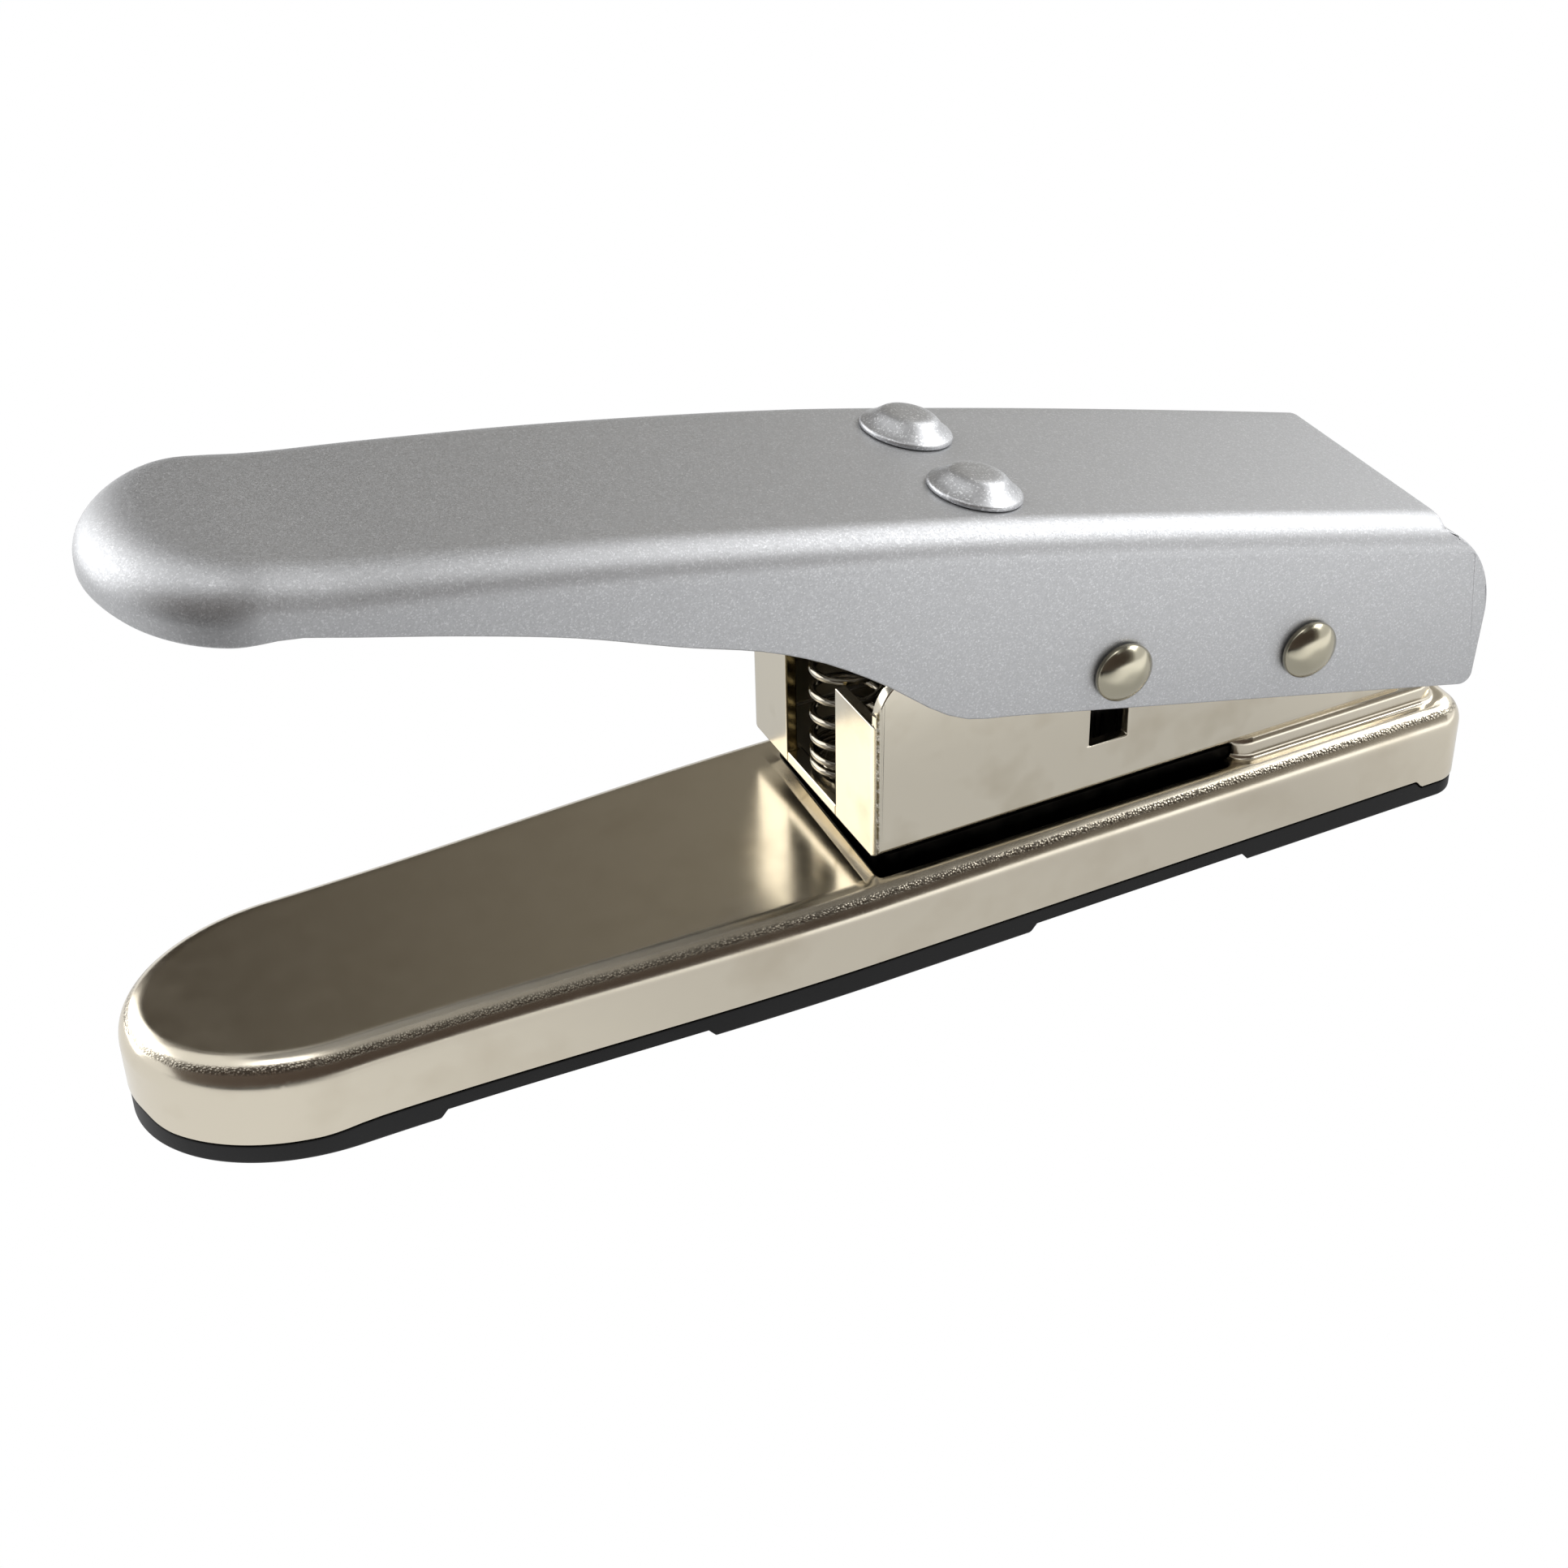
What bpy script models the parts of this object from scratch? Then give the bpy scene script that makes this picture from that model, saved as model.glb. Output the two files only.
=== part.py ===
# Guitar pick punch: a lever press that cuts plectrums out of plastic cards.
#
# Frame: +X runs to the hinge end, +Y to the far side, +Z up. The origin is on the ground, under the
# middle of the base. The handle is modelled open, as its return spring holds it.

import math

import bmesh
import bpy
from mathutils import Matrix, Vector

MM = 0.001

# Overall driving sizes: the die frame's length sets all places along X, the handle's width those across
FRAME_LENGTH = 78.5 * MM
HANDLE_WIDTH = 37.0 * MM
HANDLE_SHEET = 1.2 * MM
DECK_HEIGHT = 14.1 * MM
PIVOT_HEIGHT = 30.85 * MM
PIVOT_X_SHARE = 0.76051
PIVOT_X = FRAME_LENGTH * PIVOT_X_SHARE
PLATE_GAP = 0.3 * MM
CUT_OVERRUN = 2.0 * MM

# Base tray, pressed from nickel-plated sheet
BASE_REAR_MARGIN = 9.7 * MM
BASE_LENGTH = 2 * (FRAME_LENGTH + BASE_REAR_MARGIN)
BASE_MARGIN = 0.5 * MM
BASE_WIDTH = HANDLE_WIDTH + 2 * BASE_MARGIN
BASE_NOSE_WIDTH_SHARE = 0.879
BASE_SHEET = 1.2 * MM
BASE_EDGE_RADIUS = 3.4 * MM
BASE_CORNER_RADIUS = 4.0 * MM
BASE_NOSE_LENGTH = 22.2 * MM
SKIRT_BOTTOM = 3.65 * MM
SKIRT_LIP_DROP = 1.1 * MM
SKIRT_LIP_LENGTH = 7.6 * MM

# Raised pad at the rear of the deck, which carries the die frame
WINDOW_REAR_SHARE = 0.66115
WINDOW_REAR = FRAME_LENGTH * WINDOW_REAR_SHARE
PAD_FRONT = WINDOW_REAR + PLATE_GAP
PAD_REAR_MARGIN = 5.9 * MM
PAD_REAR = FRAME_LENGTH + PAD_REAR_MARGIN
PAD_SIDE_MARGIN = 2.8 * MM
PAD_WIDTH = BASE_WIDTH - 2 * PAD_SIDE_MARGIN
PAD_HEIGHT = 3.25 * MM
PAD_EDGE_RADIUS = 1.3 * MM
PAD_CORNER_RADIUS = 3.0 * MM

# Window in the deck, over the catch tray
WINDOW_FRONT = 0.3 * MM
WINDOW_SIDE_MARGIN = 2.6 * MM
WINDOW_WIDTH = BASE_WIDTH - 2 * WINDOW_SIDE_MARGIN
WINDOW_CORNER_RADIUS = 1.0 * MM
PAD_PASSAGE_MARGIN = 1.6 * MM
PAD_PASSAGE_WIDTH = PAD_WIDTH - 2 * PAD_PASSAGE_MARGIN

# Moulded bottom cover, which clips into the skirt and catches the picks
COVER_SIDE_INSET = 0.15 * MM
COVER_EDGE_RADIUS = 0.6 * MM
COVER_FLOOR = 2.6 * MM
COVER_FOOT_HEIGHT = 1.4 * MM
COVER_WALL = 1.3 * MM
COVER_WALL_TOP = 9.2 * MM
FOOT_ENDS_X = (-57.0 * MM, -22.0 * MM, 20.8 * MM, 54.0 * MM)

# Die frame, a bent channel with two front tabs
FRAME_SHEET = 1.5 * MM
FRAME_WIDTH = HANDLE_WIDTH - 2 * (HANDLE_SHEET + PLATE_GAP)
FRAME_BEND_RADIUS = 2.0 * MM
FRAME_TOP = 43.2 * MM
FRAME_REAR_RADIUS = 18.5 * MM
TAB_TOP = 36.45 * MM
TAB_GAP_SHARE = 0.385
TAB_GAP = FRAME_WIDTH * TAB_GAP_SHARE
CHEEK_FRONT_X = 0.25 * MM
CHEEK_SHOULDER = 6.0 * MM
CHEEK_SHOULDER_END_DEGREES = 170
PIN_SLOT_WIDTH = 5.4 * MM
PIN_SLOT_BOTTOM = 24.75 * MM

# Plectrum outline, cut by the punch and the die
PICK_LENGTH_SHARE = 0.3949
PICK_LENGTH = FRAME_LENGTH * PICK_LENGTH_SHARE
PICK_WIDTH_SHARE = 0.3588
PICK_HALF_WIDTH = FRAME_WIDTH * PICK_WIDTH_SHARE
PICK_X_SHARE = 0.41147
PICK_X = FRAME_LENGTH * PICK_X_SHARE
PICK_TIP_SHARE = 0.039
PICK_SHOULDER_SHARE = 0.18

# Die plate and punch
DIE_THICKNESS = 3.5 * MM
DIE_WIDTH = PAD_PASSAGE_WIDTH - 2 * PLATE_GAP
DIE_FRONT = 2.0 * MM
DIE_REAR_MARGIN = 1.5 * MM
DIE_REAR = FRAME_LENGTH - DIE_REAR_MARGIN
DIE_CORNER_RADIUS = 2.0 * MM
PUNCH_TOP = 41.1 * MM
PUNCH_SLOT_LENGTH = 5.8 * MM

# Pins through handle, frame and punch
PIN_RADIUS = 2.0 * MM
PIN_HEAD_RADIUS = 3.85 * MM
PIN_HEAD_RIM = 0.55 * MM
PIN_HEAD_DOME = 1.65 * MM
DRIVE_PIN_X = PICK_X
PIN_SLOT_SETBACK = 0.1 * MM
PIN_SLOT_X = DRIVE_PIN_X - PIN_SLOT_SETBACK
DRIVE_PIN_HEIGHT = 35.95 * MM

# Rivets that clamp frame, pad and die plate
FRAME_RIVET_RADIUS = 1.6 * MM
FRAME_RIVET_HEAD_RADIUS = 3.0 * MM
FRAME_RIVET_HEAD_HEIGHT = 1.3 * MM
FRAME_RIVET_CLENCH = 1.0 * MM
FRAME_RIVET_FRONT_MARGIN = 5.6 * MM
FRAME_RIVET_FRONT_X = WINDOW_REAR + FRAME_RIVET_FRONT_MARGIN
FRAME_RIVET_REAR_MARGIN = 6.0 * MM
FRAME_RIVET_REAR_X = FRAME_LENGTH - FRAME_RIVET_REAR_MARGIN
FRAME_RIVET_WIDTH_SHARE = 0.2794
FRAME_RIVET_Y = FRAME_WIDTH * FRAME_RIVET_WIDTH_SHARE

# Handle, pressed from painted sheet
HANDLE_REAR_MARGIN = 9.5 * MM
HANDLE_REAR_X = FRAME_LENGTH + HANDLE_REAR_MARGIN
HANDLE_NOSE_MARGIN = 5.7 * MM
HANDLE_NOSE_X = HANDLE_NOSE_MARGIN - BASE_LENGTH / 2
HANDLE_NOSE_LENGTH_SHARE = 0.39189
HANDLE_NOSE_LENGTH = HANDLE_WIDTH * HANDLE_NOSE_LENGTH_SHARE
HANDLE_TAPER_SHARE = 0.083784
HANDLE_TAPER = HANDLE_WIDTH * HANDLE_TAPER_SHARE
HANDLE_TAPER_POWER_SHARE = 1.3
HANDLE_SIDE_EDGE_SHARE = 0.116216
HANDLE_SIDE_EDGE = HANDLE_WIDTH * HANDLE_SIDE_EDGE_SHARE
HANDLE_FRONT_EDGE_SHARE = 0.148649
HANDLE_FRONT_EDGE = HANDLE_WIDTH * HANDLE_FRONT_EDGE_SHARE
HANDLE_NOSE_EDGE_SHARE = 0.227027
HANDLE_NOSE_EDGE = HANDLE_WIDTH * HANDLE_NOSE_EDGE_SHARE
HANDLE_NOSE_DROP_SHARE = 0.151351
HANDLE_NOSE_DROP = HANDLE_WIDTH * HANDLE_NOSE_DROP_SHARE
HANDLE_TOP_SHEET_SETBACK = 7.5 * MM
HANDLE_TOP_SHEET_END = HANDLE_REAR_X - HANDLE_TOP_SHEET_SETBACK
EAR_RADIUS = 15.5 * MM
EAR_CENTRE_HEIGHT = 28.15 * MM
EAR_FOOT_HEIGHT = 17.25 * MM
EAR_FOOT_RADIUS = 1.6 * MM
EAR_FOOT_SETBACK = 0.6 * MM
EAR_FOOT_START_DEGREES = 257

# Top line of the handle: heights along its length, each as a share of the handle's length and rise
HANDLE_RISE = 60.0 * MM
TOP_LINE_SHARES = (
    (0.0, 1.295),
    (0.085, 1.263),
    (0.132, 1.234),
    (0.202, 1.202),
    (0.308, 1.15),
    (0.414, 1.091),
    (0.519, 1.029),
    (0.59, 0.982),
    (0.695, 0.908),
    (0.801, 0.83),
    (0.907, 0.75),
    (1.0, 0.678),
)

# Lower line of the handle, from the nose lip to the straight run over the pins
LOWER_LINE_SHARES = (
    (0.0, 1.182),
    (0.022, 1.163),
    (0.062, 1.147),
    (0.085, 1.145),
    (0.1, 1.142),
    (0.132, 1.118),
    (0.202, 1.065),
    (0.273, 1.004),
    (0.343, 0.928),
    (0.396, 0.876),
    (0.432, 0.828),
    (0.461, 0.777),
    (0.492, 0.712),
    (0.511, 0.665),
    (0.53, 0.622),
    (0.548, 0.593),
    (0.566, 0.577),
    (0.585, 0.566),
)

# Rivets and spring seat under the handle's top
TOP_RIVET_X = 17.4 * MM
TOP_RIVET_WIDTH_SHARE = 0.223
TOP_RIVET_Y = HANDLE_WIDTH * TOP_RIVET_WIDTH_SHARE
TOP_RIVET_RADIUS = 1.8 * MM
TOP_RIVET_HEAD_SHARE = 0.154054
TOP_RIVET_HEAD_RADIUS = HANDLE_WIDTH * TOP_RIVET_HEAD_SHARE
TOP_RIVET_FLAT_SHARE = 0.089189
TOP_RIVET_FLAT_RADIUS = HANDLE_WIDTH * TOP_RIVET_FLAT_SHARE
TOP_RIVET_RIM = 0.45 * MM
TOP_RIVET_HEIGHT = 2.4 * MM
TOP_RIVET_CLENCH_RADIUS = 3.0 * MM
TOP_RIVET_CLENCH = 0.9 * MM
RETAINER_SHEET = 1.2 * MM
RETAINER_LENGTH = 24.0 * MM
RETAINER_SIDE_MARGIN = 5.0 * MM
RETAINER_WIDTH = HANDLE_WIDTH - 2 * RETAINER_SIDE_MARGIN
RETAINER_REAR_MARGIN = 5.0 * MM
RETAINER_CORNER_RADIUS = 3.0 * MM
RETAINER_BOSS_HEIGHT = 2.6 * MM

# Return spring and its lower stud
SPRING_X = 5.3 * MM
SPRING_RADIUS = 4.4 * MM
SPRING_WIRE = 1.0 * MM
SPRING_TURNS = 14
SPRING_DEAD_TURNS = 2.0
SPRING_DEAD_PITCH = 1.5 * MM
SPRING_POINTS_PER_TURN = 10
SPRING_END_GAP = 0.7 * MM
SPRING_BOW_SHARE = 0.5
STUD_HEAD_HEIGHT = 1.8 * MM
STUD_SHANK_RADIUS = 1.6 * MM

# Mesh fineness
ARC_STEPS = 6
ROUND_STEPS = 28
NOSE_STEPS = 9
BASE_TAPER_STEPS = 8
EDGE_STEPS = 4
PICK_STEPS = 40
HANDLE_STATIONS = 20
LOWER_LINE_STEPS = 3
WELD_DISTANCE = 0.01 * MM
FLAT_ANGLE = math.radians(1)

HALF_LENGTH = BASE_LENGTH / 2
FRAME_BOTTOM = DECK_HEIGHT + PAD_HEIGHT + PLATE_GAP
PAD_TOP = DECK_HEIGHT + PAD_HEIGHT
FRAME_FLOOR_TOP = FRAME_BOTTOM + FRAME_SHEET
DIE_TOP = PAD_TOP - BASE_SHEET - PLATE_GAP
DIE_BOTTOM = DIE_TOP - DIE_THICKNESS
HANDLE_LENGTH = HANDLE_REAR_X - HANDLE_NOSE_X
PIN_HOLE_RADIUS = PIN_RADIUS + PLATE_GAP


def start_scene():
    """Empty the scene and make one collection for the parts and one for the cutters."""
    for item in list(bpy.data.objects):
        bpy.data.objects.remove(item)
    folders = []
    for name in ("guitar_pick_punch", "cutters"):
        folder = bpy.data.collections.new(name)
        bpy.context.scene.collection.children.link(folder)
        folders.append(folder)
    return folders


PARTS, CUTTERS = start_scene()


def make_material(name, colour, metallic, roughness):
    """Principled finish with the colour of the real surface."""
    material = bpy.data.materials.new(name)
    material.use_nodes = True
    shader = material.node_tree.nodes["Principled BSDF"]
    shader.inputs["Base Color"].default_value = (*colour, 1.0)
    shader.inputs["Metallic"].default_value = metallic
    shader.inputs["Roughness"].default_value = roughness
    return material


NICKEL = make_material("nickel_plate", (0.62, 0.58, 0.50), 1.0, 0.28)
SILVER_PAINT = make_material("silver_paint", (0.45, 0.46, 0.48), 0.6, 0.45)
BLACK_PLASTIC = make_material("black_plastic", (0.012, 0.012, 0.014), 0.0, 0.5)
BLACK_STEEL = make_material("blackened_tool_steel", (0.03, 0.03, 0.032), 0.8, 0.45)
TOOL_STEEL = make_material("ground_tool_steel", (0.42, 0.42, 0.43), 1.0, 0.3)
SPRING_STEEL = make_material("spring_steel", (0.5, 0.49, 0.46), 1.0, 0.22)


def add_object(name, mesh, material=None):
    """Put a mesh in the scene, as a part when it has a material and as a hidden cutter when not."""
    item = bpy.data.objects.new(name, mesh)
    if material is None:
        CUTTERS.objects.link(item)
        item.hide_render = True
        item.display_type = "WIRE"
    else:
        PARTS.objects.link(item)
        mesh.materials.clear()
        mesh.materials.append(material)
    return item


def finish_mesh(name, bm, material=None, smooth=True):
    """Store a bmesh as an object, shaded smooth with its sharp edges kept."""
    mesh = bpy.data.meshes.new(name)
    bmesh.ops.recalc_face_normals(bm, faces=bm.faces)
    bm.to_mesh(mesh)
    bm.free()
    if smooth:
        mesh.shade_smooth()
        mesh.set_sharp_from_angle(angle=math.radians(35))
    return add_object(name, mesh, material)


def cut(target, cutter, operation="DIFFERENCE"):
    """Cut, join or trim a part with another object."""
    modifier = target.modifiers.new(cutter.name, "BOOLEAN")
    modifier.operation = operation
    modifier.solver = "EXACT"
    modifier.object = cutter


def outline_mesh(points, low, high, plane):
    """Solid between two heights over a flat outline, drawn as a filled curve."""
    curve = bpy.data.curves.new("outline", "CURVE")
    curve.dimensions = "2D"
    curve.fill_mode = "BOTH"
    curve.extrude = (high - low) / 2
    spline = curve.splines.new("POLY")
    spline.points.add(len(points) - 1)
    for point, place in zip(spline.points, points):
        point.co = (place[0], place[1], 0.0, 1.0)
    spline.use_cyclic_u = True
    drawn = bpy.data.objects.new("outline", curve)
    bpy.context.scene.collection.objects.link(drawn)
    depsgraph = bpy.context.evaluated_depsgraph_get()
    mesh = bpy.data.meshes.new_from_object(drawn.evaluated_get(depsgraph))
    bpy.data.objects.remove(drawn)
    bm = bmesh.new()
    bm.from_mesh(mesh)
    bmesh.ops.remove_doubles(bm, verts=bm.verts, dist=WELD_DISTANCE)
    bm.normal_update()
    inside = [e for e in bm.edges if all(abs(f.normal.z) > 0.5 for f in e.link_faces)]
    bmesh.ops.dissolve_limit(bm, angle_limit=FLAT_ANGLE, verts=[], edges=inside)
    bmesh.ops.translate(bm, verts=bm.verts, vec=(0, 0, (low + high) / 2))
    if plane == "XZ":
        bmesh.ops.rotate(bm, verts=bm.verts, cent=(0, 0, 0), matrix=Matrix.Rotation(math.pi / 2, 3, "X"))
    return bm


def outline_solid(name, points, low, high, plane="XY", material=None, round_edge=0.0, round_at=None):
    """Flat outline made solid; the rim at one height may be rounded."""
    bm = outline_mesh(points, low, high, plane)
    if round_edge:
        rim = [e for e in bm.edges if all(abs(v.co.z - round_at) < WELD_DISTANCE for v in e.verts)]
        bmesh.ops.bevel(bm, geom=rim, offset=round_edge, segments=EDGE_STEPS, profile=0.5,
                        affect="EDGES", clamp_overlap=False, material=-1)
    return finish_mesh(name, bm, material)


def box(name, low, high, material=None):
    """Block between two corners."""
    bm = bmesh.new()
    bmesh.ops.create_cube(bm, size=1)
    size = Vector(high) - Vector(low)
    centre = (Vector(high) + Vector(low)) / 2
    bmesh.ops.scale(bm, verts=bm.verts, vec=size)
    bmesh.ops.translate(bm, verts=bm.verts, vec=centre)
    return finish_mesh(name, bm, material, smooth=False)


def cylinder(name, radius, low, high, place, axis="Z", material=None):
    """Round bar between two heights on its axis."""
    bm = bmesh.new()
    bmesh.ops.create_cone(bm, cap_ends=True, segments=ROUND_STEPS, radius1=radius, radius2=radius,
                          depth=high - low)
    bmesh.ops.translate(bm, verts=bm.verts, vec=(0, 0, (low + high) / 2))
    if axis == "Y":
        bmesh.ops.rotate(bm, verts=bm.verts, cent=(0, 0, 0), matrix=Matrix.Rotation(-math.pi / 2, 3, "X"))
    bmesh.ops.translate(bm, verts=bm.verts, vec=place)
    return finish_mesh(name, bm, material)


def turned(name, profile, material):
    """Turned piece: a profile of (radius, height) from its top to its foot, swept by a Screw."""
    mesh = bpy.data.meshes.new(name)
    points = [(radius, 0.0, height) for radius, height in profile]
    mesh.from_pydata(points, [(i, i + 1) for i in range(len(points) - 1)], [])
    item = add_object(name, mesh, material)
    screw = item.modifiers.new("turn", "SCREW")
    screw.steps = ROUND_STEPS
    screw.render_steps = ROUND_STEPS
    screw.use_merge_vertices = True
    screw.merge_threshold = WELD_DISTANCE
    screw.use_smooth_shade = True
    return item


def arc(centre_x, centre_y, radius, start, end, steps=ARC_STEPS):
    """Points on a round stretch of an outline, between two angles in degrees."""
    points = []
    for step in range(steps + 1):
        angle = math.radians(start + (end - start) * step / steps)
        points.append((centre_x + radius * math.cos(angle), centre_y + radius * math.sin(angle)))
    return points


def rounded_rectangle(x_low, x_high, half_width, radius):
    """Plan outline of a rectangle about the X axis with round corners."""
    points = arc(x_high - radius, half_width - radius, radius, 0, 90)
    points += arc(x_low + radius, half_width - radius, radius, 90, 180)
    points += arc(x_low + radius, radius - half_width, radius, 180, 270)
    points += arc(x_high - radius, radius - half_width, radius, 270, 360)
    return points


def smoothstep(share):
    share = min(max(share, 0.0), 1.0)
    return share * share * (3 - 2 * share)


def read_line(table, share):
    """Height share on a line of chosen points, smoothed by a cubic through its neighbours."""
    share = min(max(share, table[0][0]), table[-1][0])
    index = max(i for i in range(len(table) - 1) if table[i][0] <= share)
    low, high = table[index], table[index + 1]
    before = table[max(index - 1, 0)]
    after = table[min(index + 2, len(table) - 1)]
    span = high[0] - low[0]
    slope_low = (high[1] - before[1]) / (high[0] - before[0])
    slope_high = (after[1] - low[1]) / (after[0] - low[0])
    t = (share - low[0]) / span
    return ((2 * t ** 3 - 3 * t ** 2 + 1) * low[1] + (t ** 3 - 2 * t ** 2 + t) * span * slope_low
            + (3 * t ** 2 - 2 * t ** 3) * high[1] + (t ** 3 - t ** 2) * span * slope_high)


def base_outline(inset):
    """Plan of the base moved inwards: a straight rear, a slow taper and a half-ellipse nose."""
    half = BASE_WIDTH / 2 - inset
    nose_half = BASE_WIDTH * BASE_NOSE_WIDTH_SHARE / 2 - inset
    nose_start = BASE_NOSE_LENGTH - HALF_LENGTH
    nose_length = BASE_NOSE_LENGTH - inset
    corner = BASE_CORNER_RADIUS - inset if BASE_CORNER_RADIUS > 2 * inset else BASE_CORNER_RADIUS / 2
    rear = HALF_LENGTH - inset
    side = arc(rear - corner, half - corner, corner, 0, 90)
    for step in range(BASE_TAPER_STEPS):
        share = step / BASE_TAPER_STEPS
        side.append((nose_start * share, half + (nose_half - half) * smoothstep(share)))
    for step in range(NOSE_STEPS + 1):
        angle = math.pi / 2 * step / NOSE_STEPS
        side.append((nose_start - nose_length * math.sin(angle), nose_half * math.cos(angle)))
    other = [(x, -y) for x, y in reversed(side[:-1])]
    side[-1] = (side[-1][0], 0.0)
    return side + other


def pick_outline(clearance):
    """Plectrum outline with its tip to the front, as a sum of two turning circles."""
    half_length = PICK_LENGTH / 2 + clearance
    half_width = PICK_HALF_WIDTH + clearance
    points = []
    for step in range(PICK_STEPS):
        angle = 2 * math.pi * step / PICK_STEPS
        x = half_length * math.cos(angle) + PICK_LENGTH * PICK_TIP_SHARE * math.cos(2 * angle)
        y = half_width * math.sin(angle) - PICK_HALF_WIDTH * PICK_SHOULDER_SHARE * math.sin(2 * angle)
        points.append((PICK_X - x, y))
    return points


def make_base_shell():
    """Pressed tray with rounded top edge, open below, with the raised rear pad and the window."""
    skirt_low = SKIRT_BOTTOM - SKIRT_LIP_DROP
    shell = outline_solid("base_shell", base_outline(0.0), skirt_low, DECK_HEIGHT, material=NICKEL,
                          round_edge=BASE_EDGE_RADIUS, round_at=DECK_HEIGHT)
    pad_half = PAD_WIDTH / 2
    pad = outline_solid("pad_outside", rounded_rectangle(PAD_FRONT, PAD_REAR, pad_half, PAD_CORNER_RADIUS),
                        DECK_HEIGHT - BASE_SHEET, PAD_TOP, round_edge=PAD_EDGE_RADIUS, round_at=PAD_TOP)
    cut(shell, pad, "UNION")

    deck_under = DECK_HEIGHT - BASE_SHEET
    hollow = outline_solid("tray_hollow", base_outline(BASE_SHEET), skirt_low - CUT_OVERRUN, deck_under,
                           round_edge=BASE_EDGE_RADIUS - BASE_SHEET, round_at=deck_under)
    cut(shell, hollow)
    pad_outline = rounded_rectangle(PAD_FRONT + BASE_SHEET, PAD_REAR - BASE_SHEET, pad_half - BASE_SHEET,
                                    PAD_CORNER_RADIUS - BASE_SHEET)
    pad_hollow = outline_solid("pad_hollow", pad_outline, deck_under - CUT_OVERRUN, PAD_TOP - BASE_SHEET)
    cut(shell, pad_hollow)

    window = outline_solid("window", rounded_rectangle(WINDOW_FRONT, WINDOW_REAR, WINDOW_WIDTH / 2,
                                                       WINDOW_CORNER_RADIUS),
                           deck_under - CUT_OVERRUN, DECK_HEIGHT + CUT_OVERRUN)
    cut(shell, window)
    passage_half = PAD_PASSAGE_WIDTH / 2
    passage = box("pad_passage", (WINDOW_REAR - CUT_OVERRUN, -passage_half, deck_under - CUT_OVERRUN),
                  (PAD_FRONT + CUT_OVERRUN, passage_half, PAD_TOP - BASE_SHEET))
    cut(shell, passage)
    lip_start = HALF_LENGTH - SKIRT_LIP_LENGTH
    trim = box("skirt_trim", (-HALF_LENGTH - CUT_OVERRUN, -BASE_WIDTH, skirt_low - CUT_OVERRUN),
               (lip_start, BASE_WIDTH, SKIRT_BOTTOM))
    cut(shell, trim)
    for x, y, hole in frame_rivet_places():
        cut(shell, cylinder("pad_hole_" + hole, FRAME_RIVET_RADIUS + PLATE_GAP, deck_under,
                            PAD_TOP + CUT_OVERRUN, (x, y, 0)))
    return shell


def frame_rivet_places():
    """Centres and short names of the four rivets that clamp the frame."""
    return [(x, y, end + "_" + side)
            for x, end in ((FRAME_RIVET_FRONT_X, "front"), (FRAME_RIVET_REAR_X, "rear"))
            for y, side in ((-FRAME_RIVET_Y, "near"), (FRAME_RIVET_Y, "far"))]


def make_bottom_cover():
    """Moulded pan under the base with three thicker feet and a wall that clips inside the skirt."""
    edge_top = SKIRT_BOTTOM - PLATE_GAP
    cover = outline_solid("bottom_cover", base_outline(COVER_SIDE_INSET), 0.0, edge_top,
                          material=BLACK_PLASTIC, round_edge=COVER_EDGE_RADIUS, round_at=0.0)
    wall_inset = BASE_SHEET + PLATE_GAP
    wall = outline_solid("cover_wall", base_outline(wall_inset), COVER_FOOT_HEIGHT, COVER_WALL_TOP)
    cut(cover, wall, "UNION")
    hollow = outline_solid("cover_hollow", base_outline(wall_inset + COVER_WALL), COVER_FLOOR,
                           COVER_WALL_TOP + CUT_OVERRUN)
    cut(cover, hollow)
    for index in (0, 2):
        recess = box("foot_recess_%d" % index, (FOOT_ENDS_X[index], -BASE_WIDTH, -CUT_OVERRUN),
                     (FOOT_ENDS_X[index + 1], BASE_WIDTH, COVER_FOOT_HEIGHT))
        cut(cover, recess)
    lip_start = HALF_LENGTH - SKIRT_LIP_LENGTH - PLATE_GAP
    rear_trim = box("rear_edge_trim", (lip_start, -BASE_WIDTH, edge_top - SKIRT_LIP_DROP),
                    (HALF_LENGTH + CUT_OVERRUN, BASE_WIDTH, edge_top + CUT_OVERRUN))
    kept_wall = outline_solid("kept_wall", base_outline(wall_inset), -CUT_OVERRUN, COVER_WALL_TOP)
    cut(rear_trim, kept_wall)
    cut(cover, rear_trim)
    return cover


def frame_side_outline():
    """Side view of the die frame: straight floor, tab notch, shouldered cheek and round rear end."""
    shoulder_x = CHEEK_FRONT_X + CHEEK_SHOULDER
    points = [(-CUT_OVERRUN, FRAME_BOTTOM - CUT_OVERRUN), (FRAME_LENGTH, FRAME_BOTTOM - CUT_OVERRUN)]
    points += arc(FRAME_LENGTH - FRAME_REAR_RADIUS, FRAME_TOP - FRAME_REAR_RADIUS, FRAME_REAR_RADIUS, 0, 90,
                  2 * ARC_STEPS)
    shoulder = arc(shoulder_x, FRAME_TOP - CHEEK_SHOULDER, CHEEK_SHOULDER, 90, CHEEK_SHOULDER_END_DEGREES)
    points += shoulder
    points.append((-CUT_OVERRUN, shoulder[-1][1]))
    return points


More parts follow.
